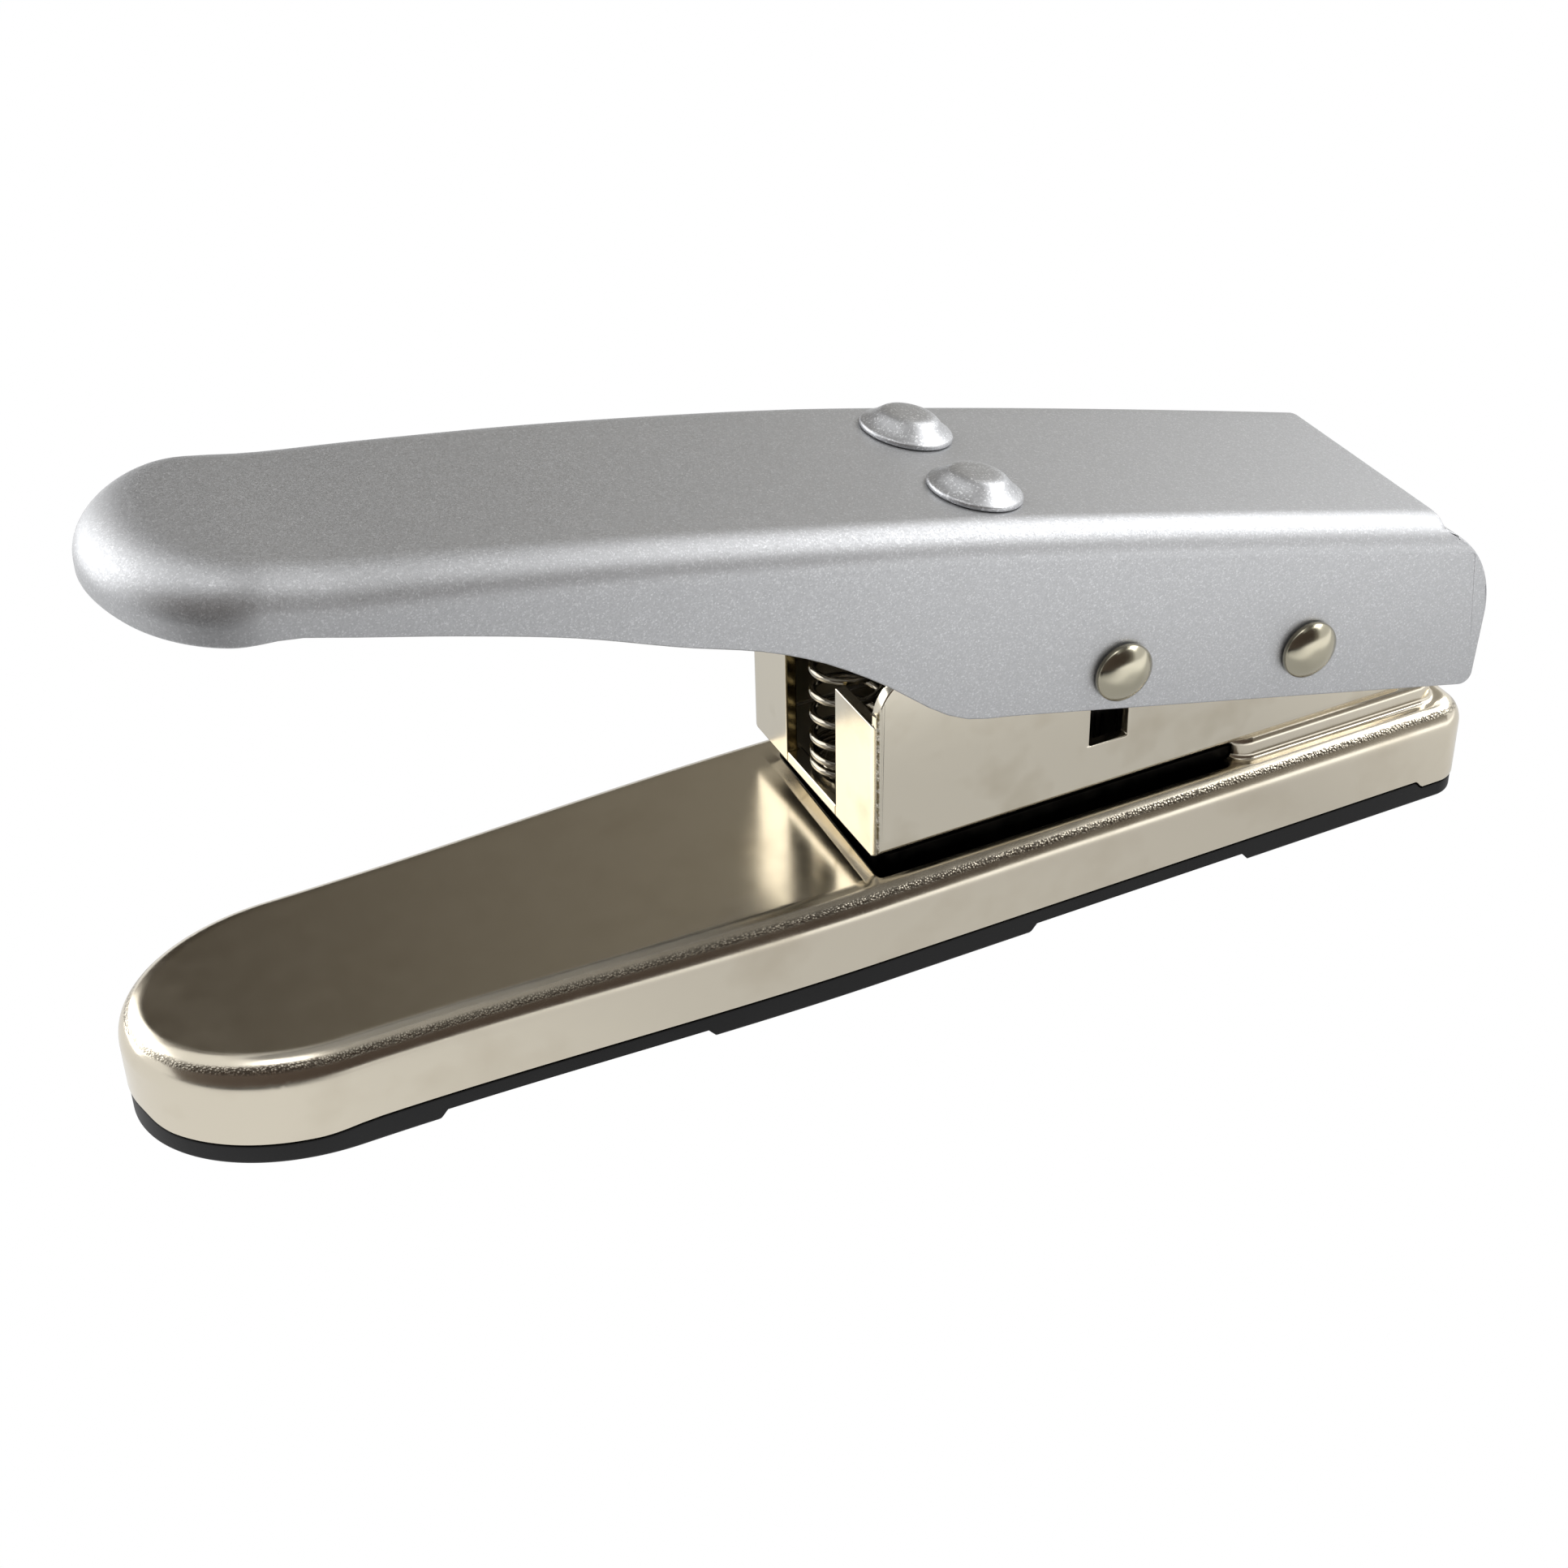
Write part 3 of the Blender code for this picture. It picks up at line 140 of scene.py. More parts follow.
def worn_front(tree, place):
    """The sheared edges of the tabs, and brown specks along the corner bend."""
    sheared = at_front(tree, place, (-0.6, -0.5, 1.6, 1.8), (6.3, 6.4, 6.58, 6.7))
    specks = add_node(tree, "ShaderNodeTexNoise", {"Vector": place, "Scale": 1 / (0.7 * MM), "Detail": 1.0})
    dots = add_node(tree, "ShaderNodeMapRange", {"Value": specks.outputs["Fac"], "From Min": 0.4,
                                                 "From Max": 0.55})
    dotted = add_node(tree, "ShaderNodeMath", {0: corner_line(tree, place), 1: dots.outputs["Result"]},
                      operation="MULTIPLY")
    return add_node(tree, "ShaderNodeMath", {0: sheared, 1: dotted.outputs[0]},
                    operation="MAXIMUM").outputs[0]


# %% [markdown]
# Handling has left faint brown smudges some 10 mm across, which also dull the plate a little. A low wave 7 mm
# long bends the mirror images, as in any sheet that has been through a press. The hollows between the pebbles
# are deeper, and they are painted darker too: painted shade, which stands in for the shading of the small
# pebbles.

# %% Nickel finish
SMUDGE_SIZE = 11 * MM
WAVE_LENGTH = 7 * MM
GRAIN_SIZE = 2.5 * MM
PEBBLE_SIZE = 0.28 * MM
SHEARED_BROWN = linear("#857855")
# painted shade: the brown that the pebbles' hollows are darkened towards
HOLLOW_SHADE_BROWN = linear("#4A443A")


def nickel_plate(name, colour, smudge_colour, roughness, find_bend=None, find_shear=None):
    """Plated steel; find_bend and find_shear are the masks of its pebbled and its sheared places."""
    material, tree, shader, place = new_finish(name)
    cloud = add_node(tree, "ShaderNodeTexNoise", {"Vector": place, "Scale": 1 / SMUDGE_SIZE, "Detail": 3.0})
    smudge = add_node(tree, "ShaderNodeValToRGB", {"Fac": cloud.outputs["Fac"]}, [(0.5, 0.0), (0.75, 0.4)])
    mix = add_node(tree, "ShaderNodeMix", {"Factor": smudge.outputs["Color"], "A": linear(colour),
                                           "B": linear(smudge_colour)}, data_type="RGBA")
    wave = add_node(tree, "ShaderNodeTexNoise", {"Vector": place, "Scale": 1 / WAVE_LENGTH, "Detail": 1.0})
    bump = add_node(tree, "ShaderNodeBump", {"Height": wave.outputs["Fac"], "Distance": 0.05 * MM,
                                             "Strength": 0.5})
    if find_shear:
        mix = add_node(tree, "ShaderNodeMix", {"Factor": find_shear(tree, place), "A": mix.outputs[2],
                                               "B": SHEARED_BROWN}, data_type="RGBA")
    if find_bend:
        bend = find_bend(tree, place)
        pebble = add_node(tree, "ShaderNodeTexVoronoi", {"Vector": place, "Scale": 1 / PEBBLE_SIZE})
        hollow = add_node(tree, "ShaderNodeMapRange", {"Value": pebble.outputs["Distance"], "From Min": 0.25,
                                                       "From Max": 0.6, "To Max": 0.6})
        # painted shade in the pebbles' hollows, only where the sheet is bent
        hollow_shade = add_node(tree, "ShaderNodeMath", {0: hollow.outputs[0], 1: bend}, operation="MULTIPLY")
        mix = add_node(tree, "ShaderNodeMix", {"Factor": hollow_shade.outputs[0], "A": mix.outputs[2],
                                               "B": HOLLOW_SHADE_BROWN}, data_type="RGBA")
        depth = add_node(tree, "ShaderNodeMath", {0: pebble.outputs["Distance"], 1: bend},
                         operation="MULTIPLY")
        bump = add_node(tree, "ShaderNodeBump", {"Height": depth.outputs[0], "Distance": 0.03 * MM,
                                                 "Normal": bump.outputs["Normal"]}, invert=True)
    tree.links.new(mix.outputs[2], shader.inputs["Base Color"])
    tree.links.new(bump.outputs["Normal"], shader.inputs["Normal"])
    shader.inputs["Metallic"].default_value = 1.0
    grain = add_node(tree, "ShaderNodeTexNoise", {"Vector": place, "Scale": 1 / GRAIN_SIZE, "Detail": 3.0})
    dulling = add_node(tree, "ShaderNodeMapRange", {"Value": grain.outputs["Fac"], "From Min": 0.3,
                                                    "From Max": 0.7, "To Min": roughness * 0.92,
                                                    "To Max": roughness * 1.1})
    smudged = add_node(tree, "ShaderNodeMath", {0: smudge.outputs["Color"], 1: 0.1, 2: dulling.outputs[0]},
                       operation="MULTIPLY_ADD")
    tree.links.new(smudged.outputs[0], shader.inputs["Roughness"])
    return material


BASE_NICKEL = nickel_plate("pressed satin nickel plate", "#D9D1C0", "#C2B7A2", 0.19, tray_bend)
FRAME_NICKEL = nickel_plate("bent nickel plate", "#D6CFBF", "#9F9275", 0.2, corner_line, worn_front)
# The pins and clamp rivets get a darker nickel than the base: painted shade, which tones down the bright
# painted floor that their domes mirror.
PIN_NICKEL_SHADED = nickel_plate("nickel darkened on the pins", "#AFAA98", "#928974", 0.2)
print("nickel finishes:", [finish.name for finish in (BASE_NICKEL, FRAME_NICKEL, PIN_NICKEL_SHADED)])

# %% [markdown]
# ## Silver metallic paint
#
# The handle and its two rivets are sprayed with silver paint: a grey lacquer full of aluminium flakes
# about 0.1 mm across. Each flake lies at its own small angle, so it glints on its own, and the broad
# highlight looks grainy. At this camera's distance such flakes are about a pixel wide, so they are drawn
# at 0.16 mm. A Voronoi pattern gives each flake one random value, which tilts it and changes its tone.
# Under the flakes the sprayed coat has a faint orange peel of 0.8 mm.

# %% Silver paint finish
FLAKE_SIZE = 0.16 * MM
PEEL_SIZE = 0.8 * MM


def silver_lacquer(name, tones, roughness):
    """Flake paint; tones are the colours of its darkest, its usual and its brightest flakes."""
    material, tree, shader, place = new_finish(name)
    flake = add_node(tree, "ShaderNodeTexVoronoi", {"Vector": place, "Scale": 1 / FLAKE_SIZE})
    chance = add_node(tree, "ShaderNodeSeparateColor", {"Color": flake.outputs["Color"]})
    level = add_node(tree, "ShaderNodeValToRGB", {"Fac": chance.outputs[0]},
                     [(position, linear(code)) for position, code in zip((0.0, 0.8, 1.0), tones)])
    tree.links.new(level.outputs["Color"], shader.inputs["Base Color"])
    shader.inputs["Metallic"].default_value = 0.85
    speck = add_node(tree, "ShaderNodeMapRange", {"Value": chance.outputs[1], "To Min": roughness,
                                                 "To Max": roughness + 0.12})
    tree.links.new(speck.outputs[0], shader.inputs["Roughness"])
    orange_peel = add_node(tree, "ShaderNodeTexNoise", {"Vector": place, "Scale": 1 / PEEL_SIZE,
                                                        "Detail": 2.0})
    peel = add_node(tree, "ShaderNodeBump", {"Height": orange_peel.outputs["Fac"], "Distance": 0.02 * MM,
                                             "Strength": 0.6})
    tilt = add_node(tree, "ShaderNodeBump", {"Height": chance.outputs[2], "Distance": 0.006 * MM,
                                             "Strength": 0.6, "Normal": peel.outputs["Normal"]})
    tree.links.new(tilt.outputs["Normal"], shader.inputs["Normal"])
    return material


SILVER_PAINT = silver_lacquer("sprayed silver flake lacquer", ("#B3B4B6", "#BCBDBF", "#CDCED0"), 0.43)
# The rivets' copy has much lighter bright flakes: painted light on their slopes.
LIT_RIVET_PAINT = silver_lacquer("silver flake lacquer lightened on the rivets", ("#B2B3B5", "#BEBFC1", "#E6E7E9"), 0.35)
print("paints:", [finish.name for finish in (SILVER_PAINT, LIT_RIVET_PAINT)])

# %% [markdown]
# ## Black moulding
#
# The bottom cover is moulded ABS. Its mould was eroded by sparks, which leaves a fine grit of 0.4 mm on the
# plastic, so its sheen is soft. Its black drifts by a hair from place to place.

# %% Black plastic finish
MOULD_GRIT = 0.4 * MM


def moulded_black(name):
    """Black plastic with the soft sheen of an eroded mould."""
    material, tree, shader, place = new_finish(name)
    cloud = add_node(tree, "ShaderNodeTexNoise", {"Vector": place, "Scale": 1 / (14 * MM), "Detail": 4.0})
    tint = add_node(tree, "ShaderNodeValToRGB", {"Fac": cloud.outputs["Fac"]},
                    [(0.3, linear("#0D0D0E")), (0.7, linear("#141415"))])
    tree.links.new(tint.outputs["Color"], shader.inputs["Base Color"])
    shader.inputs["Roughness"].default_value = 0.5
    shader.inputs["Specular IOR Level"].default_value = 0.3
    grit = add_node(tree, "ShaderNodeTexNoise", {"Vector": place, "Scale": 1 / MOULD_GRIT, "Detail": 2.0})
    bump = add_node(tree, "ShaderNodeBump", {"Height": grit.outputs["Fac"], "Distance": 0.02 * MM,
                                             "Strength": 0.5})
    tree.links.new(bump.outputs["Normal"], shader.inputs["Normal"])
    return material


BLACK_ABS = moulded_black("moulded black ABS")
print("plastic:", BLACK_ABS.name)

# %% [markdown]
# ## Blackened die, ground punch and spring wire
#
# The die plate is tool steel with a black oxide skin, which is never quite even. The punch block is ground:
# fine straight lines run up its sides, and its tone is kept dark. The spring is drawn wire, smooth, with
# faint clouds; its colour is darker than bright wire, as painted shade inside the frame. All three are bare
# steel with one noise, so one function makes them, and it stretches the noise into lines where a tool has
# left some.

# %% Steel finishes
def worked_steel(name, dark, light, roughness, stretch, line_width):
    """Steel with a noise in two tones; a small stretch along an axis draws the noise out into lines."""
    material, tree, shader, place = new_finish(name)
    drawn_out = add_node(tree, "ShaderNodeMapping", {"Vector": place, "Scale": stretch})
    lines = add_node(tree, "ShaderNodeTexNoise", {"Vector": drawn_out.outputs[0], "Scale": 1 / line_width,
                                                  "Detail": 2.0})
    tone = add_node(tree, "ShaderNodeValToRGB", {"Fac": lines.outputs["Fac"]},
                    [(0.3, linear(dark)), (0.7, linear(light))])
    tree.links.new(tone.outputs["Color"], shader.inputs["Base Color"])
    shader.inputs["Metallic"].default_value = 1.0
    sheen = add_node(tree, "ShaderNodeMapRange", {"Value": lines.outputs["Fac"], "From Min": 0.3,
                                                  "From Max": 0.7, "To Min": roughness * 0.8,
                                                  "To Max": roughness * 1.25})
    tree.links.new(sheen.outputs[0], shader.inputs["Roughness"])
    bump = add_node(tree, "ShaderNodeBump", {"Height": lines.outputs["Fac"], "Distance": 0.012 * MM,
                                             "Strength": 0.5})
    tree.links.new(bump.outputs["Normal"], shader.inputs["Normal"])
    return material


BLACK_OXIDE = worked_steel("black oxide tool steel", "#0E0D0C", "#1C1A17", 0.42, (1, 1, 1), 2.5 * MM)
# the punch is given a dark tone
GROUND_STEEL = worked_steel("dark ground tool steel", "#54524E", "#65635F", 0.3, (1, 1, 0.06), 0.5 * MM)
# painted shade: the wire is darker than bright drawn wire, where it stands inside the frame
SPRING_WIRE_SHADED = worked_steel("drawn spring wire darkened as painted shade", "#8F897D", "#A8A295", 0.12, (1, 1, 1), 1.2 * MM)
print("steels:", [finish.name for finish in (BLACK_OXIDE, GROUND_STEEL, SPRING_WIRE_SHADED)])

# %% [markdown]
# ## The base tray
#
# The base is one sheet of 1.2 mm steel pressed into a long tray, open below. From above it is straight at
# the rear, narrows slowly and ends in a half-ellipse. Its top edge is a broad round, a little deeper at the
# nose because the press has to draw the metal further there. The skirt's lower edge is not straight
# either: it dips beside the nose and has a lip at the rear corners.

# %% Base outline
HALF_LENGTH = 88.2 * MM
BASE_HALF = 19.0 * MM
NOSE_HALF = 16.7 * MM
NOSE_LENGTH = 22.2 * MM
REAR_CORNER = 4.0 * MM
REAR_LIP_X = 80.2 * MM


def arc(x, y, radius, start, end, steps=12):
    """Points on a round stretch, between two angles in degrees."""
    angles = [math.radians(start + (end - start) * i / steps) for i in range(steps + 1)]
    return [(x + radius * math.cos(a), y + radius * math.sin(a)) for a in angles]


def smooth(share):
    """A share from 0 to 1 that starts and ends gently."""
    share = min(max(share, 0.0), 1.0)
    return share * share * (3 - 2 * share)


def base_outline():
    """The tray from above, drawn anticlockwise from the rear; points crowd where the skirt gets its lip."""
    nose_start = NOSE_LENGTH - HALF_LENGTH
    side = arc(HALF_LENGTH - REAR_CORNER, BASE_HALF - REAR_CORNER, REAR_CORNER, 0, 90, 14)
    places = [81.4 * MM, 81.0 * MM, 80.6 * MM, REAR_LIP_X]
    places += [78 * MM + (nose_start - 78 * MM) * i / 56 for i in range(56)]
    for x in places:
        side.append((x, NOSE_HALF + (BASE_HALF - NOSE_HALF) * smooth(1 - max(-x, 0.0) / -nose_start)))
    for i in range(49):
        angle = math.pi / 2 * i / 48
        side.append((nose_start - NOSE_LENGTH * math.sin(angle), NOSE_HALF * math.cos(angle)))
    side[-1] = (side[-1][0], 0.0)
    return side + [(x, -y) for x, y in reversed(side[:-1])]


def inward(outline):
    """For each point of an outline drawn anticlockwise, the unit direction to its inside."""
    sides = []
    for i in range(len(outline)):
        ahead, behind = outline[(i + 1) % len(outline)], outline[i - 1]
        along = Vector((ahead[0] - behind[0], ahead[1] - behind[1])).normalized()
        sides.append(Vector((-along.y, along.x)))
    return sides


OUTLINE = base_outline()
INWARD = inward(OUTLINE)
print("base outline:", len(OUTLINE), "points")

# %% [markdown]
# Pressed sheet has smooth outlines and round bends, so most pieces here are stacks of rings: the first ring
# is drawn, then extruded, and each corner of the new ring moves to its own place, a little inwards and up.
# The tray is skinned in one go: from the deck over the round edge and down the outside, round the skirt's
# rim, and up again on the inside to the underside of the deck. A subdivision cage would need fewer points,
# but rings keep the round edge and the sheet's thickness as they were measured.

# %% Skin over rings
def as_object(name, bm):
    """Turn a bmesh into an object of the scene, with its faces outwards."""
    bmesh.ops.recalc_face_normals(bm, faces=bm.faces)
    mesh = bpy.data.meshes.new(name)
    bm.to_mesh(mesh)
    bm.free()
    item = bpy.data.objects.new(name, mesh)
    bpy.context.scene.collection.objects.link(item)
    return item


def skin_over(name, rings):
    """Fill the first ring, extrude it through the others, and fill the last."""
    bm = bmesh.new()
    order = bm.verts.layers.int.new("order")
    corners = [bm.verts.new(spot) for spot in rings[0]]
    for i, corner in enumerate(corners):
        corner[order] = i
    loop = [bm.edges.new(pair) for pair in zip(corners, corners[1:] + corners[:1])]
    bmesh.ops.edgeloop_fill(bm, edges=loop)
    for spots in rings[1:]:
        grown = bmesh.ops.extrude_edge_only(bm, edges=loop)["geom"]
        corners = {v for v in grown if isinstance(v, bmesh.types.BMVert)}
        for corner in corners:
            corner.co = spots[corner[order]]
        loop = [e for e in grown if isinstance(e, bmesh.types.BMEdge) and corners.issuperset(e.verts)]
    bmesh.ops.edgeloop_fill(bm, edges=loop)
    return as_object(name, bm)


def moved_ring(outline, inset, height):
    """The outline moved inwards, at one height or at a height that depends on the place."""
    moved = [(x + side.x * inset, y + side.y * inset) for (x, y, *_), side in zip(outline, inward(outline))]
    return [(x, y, height(x, y) if callable(height) else height) for x, y in moved]


# %% Tray skin
DECK = 14.1 * MM
SHEET = 1.2 * MM
SKIRT_FOOT = 3.65 * MM


def tray_ring(angle, inner):
    """One ring of the tray; angle runs from 0 on the side wall to 90 degrees on the deck."""
    spots = []
    for (x, y), side in zip(OUTLINE, INWARD):
        nose = smooth((-56 * MM - x) / (27 * MM))
        rear = smooth((x + 5 * MM) / (30 * MM))
        across = (3.4 + 0.1 * nose - 0.5 * rear) * MM
        down = (3.7 + 0.5 * nose) * MM
        thick = SHEET if inner else 0.0
        move = thick + (across - thick) * (1 - math.cos(angle))
        height = DECK - thick - (down - thick) * (1 - math.sin(angle))
        spots.append((x + side.x * move, y + side.y * move, height))
    return spots


def skirt_foot(x, y):
    """Height of the skirt's lower edge: a dip beside the nose, a notch at its tip, a lip at the rear."""
    beside = smooth((-64 * MM - x) / (7 * MM)) * smooth((abs(y) - 4 * MM) / (4 * MM))
    tip = smooth((-84.5 * MM - x) / (2.5 * MM)) * smooth((6 * MM - abs(y)) / (3 * MM))
    lip = smooth((x - REAR_LIP_X) / (1.2 * MM))
    return SKIRT_FOOT - 0.55 * MM * beside + 0.5 * MM * tip - 1.1 * MM * lip


def skirt_ring(inset, lift):
    """A ring that follows the skirt's lower edge."""
    return moved_ring(OUTLINE, inset, lambda x, y: skirt_foot(x, y) + lift)


def make_tray():
    """Deck, round edge, outside, rim and inside, in that order."""
    rings = [moved_ring(tray_ring(math.pi / 2, False), 0.3 * MM, DECK)]
    rings += [tray_ring(math.pi / 2 * i / 12, False) for i in reversed(range(13))]
    rings += [skirt_ring(0.0, 0.25 * MM), skirt_ring(0.07 * MM, 0.07 * MM)]
    rings += [skirt_ring(0.25 * MM, 0.0), skirt_ring(SHEET, 0.0)]
    rings += [tray_ring(math.pi / 2 * i / 8, True) for i in range(9)]
    return skin_over("pressed_tray", rings)


tray = make_tray()
print("tray skin:", len(tray.data.polygons), "faces")

# %% [markdown]
# The die frame stands on a raised pad at the rear. The press forms the pad with a hollow foot where it
# leaves the deck and a round top edge, so its rings run out, up and in again. It is joined to the tray and
# then hollowed from below by the sheet's thickness. Joining and cutting are exact Booleans, which are
# applied at once, so that only the finished mesh stays.

# %% Joining and cutting
def apply_modifiers(item):
    """Bake an object's modifiers into its mesh."""
    depsgraph = bpy.context.evaluated_depsgraph_get()
    baked = bpy.data.meshes.new_from_object(item.evaluated_get(depsgraph))
    item.modifiers.clear()
    old, item.data = item.data, baked
    bpy.data.meshes.remove(old)


def carve(item, cutter, operation="DIFFERENCE"):
    """Cut, join or trim with another object, which is then thrown away."""
    boolean = item.modifiers.new("cut", "BOOLEAN")
    boolean.operation = operation
    boolean.solver = "EXACT"
    boolean.object = cutter
    apply_modifiers(item)
    bpy.data.objects.remove(cutter)


def prism(name, outline, low, high, plane="XY"):
    """A flat outline made solid between two heights, or across the tool when it is a side view."""
    if plane == "XY":
        return skin_over(name, [[(x, y, level) for x, y in outline] for level in (low, high)])
    return skin_over(name, [[(x, level, z) for x, z in outline] for level in (low, high)])


def rounded_rectangle(low, high, half, radius, steps=10):
    """A rectangle with round corners, from low to high along X and half to each side."""
    corners = ((high - radius, half - radius, 0), (low + radius, half - radius, 90),
               (low + radius, radius - half, 180), (high - radius, radius - half, 270))
    return [spot for x, y, start in corners for spot in arc(x, y, radius, start, start + 90, steps)]


# %% Raised pad
PAD_TOP = 17.35 * MM


def make_pad():
    """The pad's foot sweeps out of the deck, and its crown is round."""
    outline = rounded_rectangle(52.2 * MM, 84.4 * MM, 16.0 * MM, 3.0 * MM, 12)
    foot, crown = 0.75 * MM, 1.35 * MM
    steps = [(foot + 0.5 * MM, DECK - 0.7 * MM), (foot + 0.5 * MM, DECK - 0.04 * MM)]
    for i in range(7):
        angle = math.pi / 2 * i / 6
        steps.append((foot * (1 - math.sin(angle)), DECK + foot * (1 - math.cos(angle))))
    for i in range(9):
        angle = math.pi / 2 * i / 8
        steps.append((-crown * (1 - math.cos(angle)), PAD_TOP - crown * (1 - math.sin(angle))))
    return skin_over("pad", [moved_ring(outline, -out, height) for out, height in steps])


carve(tray, make_pad(), "UNION")
under = rounded_rectangle(53.4 * MM, 83.2 * MM, 15.0 * MM, 1.8 * MM)
carve(tray, prism("pad_hollow", under, 10.0 * MM, PAD_TOP - SHEET))
print("tray with its pad:", len(tray.data.polygons), "faces")

# %% [markdown]
# The window for the die is cut in front of the pad, and opens into it, so that a card can slide in. Its
# edge is drawn down a little all round, and its far front corner is rounder. The pad, the frame and the die
# are held by four rivets, which get their holes here.

# %% Window and rivet holes
LIP = 0.3 * MM
RIDGE_X = 0.6 * MM
NEAR_SIDE = -16.05 * MM
WINDOW_REAR = 51.9 * MM
SLANT = 0.03
RIVETS = [(x * MM, y * MM) for x in (57.5, 72.5) for y in (-9.5, 9.5)]
RIVET_HOLE = 1.9 * MM


def window_outline():
    """The window's throat: a rounded rectangle whose far front corner is rounder."""
    low, high, half = RIDGE_X + LIP, WINDOW_REAR - LIP, -NEAR_SIDE
    round_far, round_near, rear = 5.0 * MM, 0.6 * MM, 0.8 * MM
    far = low + 2 * SLANT * half + round_far
    return (arc(high - rear, half - rear, rear, 0, 90, 6) + arc(far, half - round_far, round_far, 90, 180, 16)
            + arc(low + round_near, round_near - half, round_near, 180, 270, 6)
            + arc(high - rear, rear - half, rear, 270, 360, 6))


def flared_hole(name, outline, low, high, flare):
    """Cutter whose mouth opens in a quarter round, so that the hole gets a rounded lip."""
    rings = [moved_ring(outline, 0.0, low)]
    for i in range(7):
        angle = math.pi / 2 * i / 6
        wider, height = flare * (1 - math.cos(angle)), high - flare * (1 - math.sin(angle))
        rings.append(moved_ring(outline, -wider, height))
    rings.append(moved_ring(outline, -flare, high + 2 * MM))
    return skin_over(name, rings)


def hole(radius, x, y, low, high, axis="Z"):
    """A round cutter; along the Y axis, its second place is a height."""
    bm = bmesh.new()
    bmesh.ops.create_cone(bm, cap_ends=True, segments=48, radius1=radius, radius2=radius, depth=high - low)
    bmesh.ops.translate(bm, verts=bm.verts, vec=(0, 0, (low + high) / 2))
    if axis == "Y":
        bmesh.ops.rotate(bm, verts=bm.verts, matrix=Matrix.Rotation(-math.pi / 2, 3, "X"))
        bmesh.ops.translate(bm, verts=bm.verts, vec=(x, 0, y))
    else:
        bmesh.ops.translate(bm, verts=bm.verts, vec=(x, y, 0))
    return as_object("hole", bm)


carve(tray, flared_hole("window", window_outline(), 10.0 * MM, DECK, LIP))
passage = [(49.0 * MM, -14.6 * MM), (54.5 * MM, -14.6 * MM), (54.5 * MM, 14.6 * MM), (49.0 * MM, 14.6 * MM)]
carve(tray, prism("passage", passage, 10.0 * MM, PAD_TOP - SHEET))
for x, y in RIVETS:
    carve(tray, hole(RIVET_HOLE, x, y, 10.0 * MM, 20.0 * MM))
print("tray with its window and holes:", len(tray.data.polygons), "faces")

# %% [markdown]
# The window's front edge is turned up into a low ridge, which guides the card in. The deck is one large
# face there, so planes slice it into strips first, and then the strips are lifted, more and more towards
# the edge. The ridge fades out before the window's far corner.

# %% Ridge
RIDGE_HEIGHT = 0.42 * MM
RIDGE_WIDTH = 1.5 * MM
RIDGE_END = 13.6 * MM


def raise_ridge(item):
    """Slice the deck in front of the window into narrow strips and lift them towards its edge."""
    bm = bmesh.new()
    bm.from_mesh(item.data)
    for place in [RIDGE_X - RIDGE_WIDTH * i / 12 for i in range(13)]:
        bmesh.ops.bisect_plane(bm, geom=bm.verts[:] + bm.edges[:] + bm.faces[:],
                               plane_co=(place, NEAR_SIDE, 0), plane_no=(1, -SLANT, 0), dist=0.005 * MM)
    for place in (11.2 * MM, 12.4 * MM, RIDGE_END, -14.8 * MM, -15.4 * MM):
        bmesh.ops.bisect_plane(bm, geom=bm.verts[:] + bm.edges[:] + bm.faces[:], plane_co=(0, place, 0),
                               plane_no=(0, 1, 0), dist=0.005 * MM)
    for vert in bm.verts:
        x, y, z = vert.co
        past = x - RIDGE_X - SLANT * (y - NEAR_SIDE)
        share = min(max(past / RIDGE_WIDTH + 1, 0.0), 1.0)
        if z > DECK - 0.5 * MM and past < 1.0 * MM:
            taper = smooth((RIDGE_END - y) / (2.4 * MM)) * smooth((y + 16.6 * MM) / (1.2 * MM))
            vert.co.z += RIDGE_HEIGHT * share ** 1.1 * taper
    bm.to_mesh(item.data)
    bm.free()


raise_ridge(tray)
print("tray with its ridge:", len(tray.data.polygons), "faces")

# %% [markdown]
# Two helpers finish every piece. The first rounds sharp edges a little, because a perfectly sharp edge
# never catches the light, and then weights the normals so that flat sheet stays flat beside a round bend.
# The second gives the piece its material and its body, and lets it stand for nodes of the frame.

# %% Soft edges and dressing
def soften_edges(item, width, segments=2, angle=40):
    """Round the sharp edges a little, as tumbling and plating do, and keep the flats flat."""
    bm = bmesh.new()
    bm.from_mesh(item.data)
    bmesh.ops.remove_doubles(bm, verts=bm.verts, dist=0.02 * MM)
    bmesh.ops.dissolve_degenerate(bm, edges=bm.edges, dist=0.01 * MM)
    bm.to_mesh(item.data)
    bm.free()
    if width:
        bevel = item.modifiers.new("soft edges", "BEVEL")
        bevel.width = width
        bevel.segments = segments
        bevel.limit_method = "ANGLE"
        bevel.angle_limit = math.radians(angle)
        bevel.use_clamp_overlap = False
        bevel.miter_outer = "MITER_ARC"
        apply_modifiers(item)
    item.data.shade_smooth()
    item.data.set_sharp_from_angle(angle=math.radians(angle))
    normals = item.modifiers.new("flat faces stay flat", "WEIGHTED_NORMAL")
    normals.keep_sharp = True
    normals.weight = 60
    apply_modifiers(item)


def dress(item, finish, slot, body, *nodes):
    """Give a finished piece its material and its body, and let it stand for CAD nodes; slot is not used."""
    item.data.materials.clear()
    item.data.materials.append(finish)
    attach(item, body)
    if nodes:
        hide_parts(*nodes)
    print(f"{item.name}: {len(item.data.polygons)} faces, on {body}")
    return item


soften_edges(tray, 0.0)
dress(tray, BASE_NICKEL, "nickel_plate", "base", "base_shell")

# %% [markdown]
# ## The bottom cover
#
# A black moulded pan closes the tray from below and catches the picks. Its rim follows the skirt's lower
# edge, a wall inside the skirt clips it in place, and it stands on three thicker stretches. It is a stack
# of rings like the tray, and two shallow cuts from below leave the three stretches standing.

# %% Bottom cover
FOOT_GAPS = ((-57.0, -22.0), (20.8, 54.0))


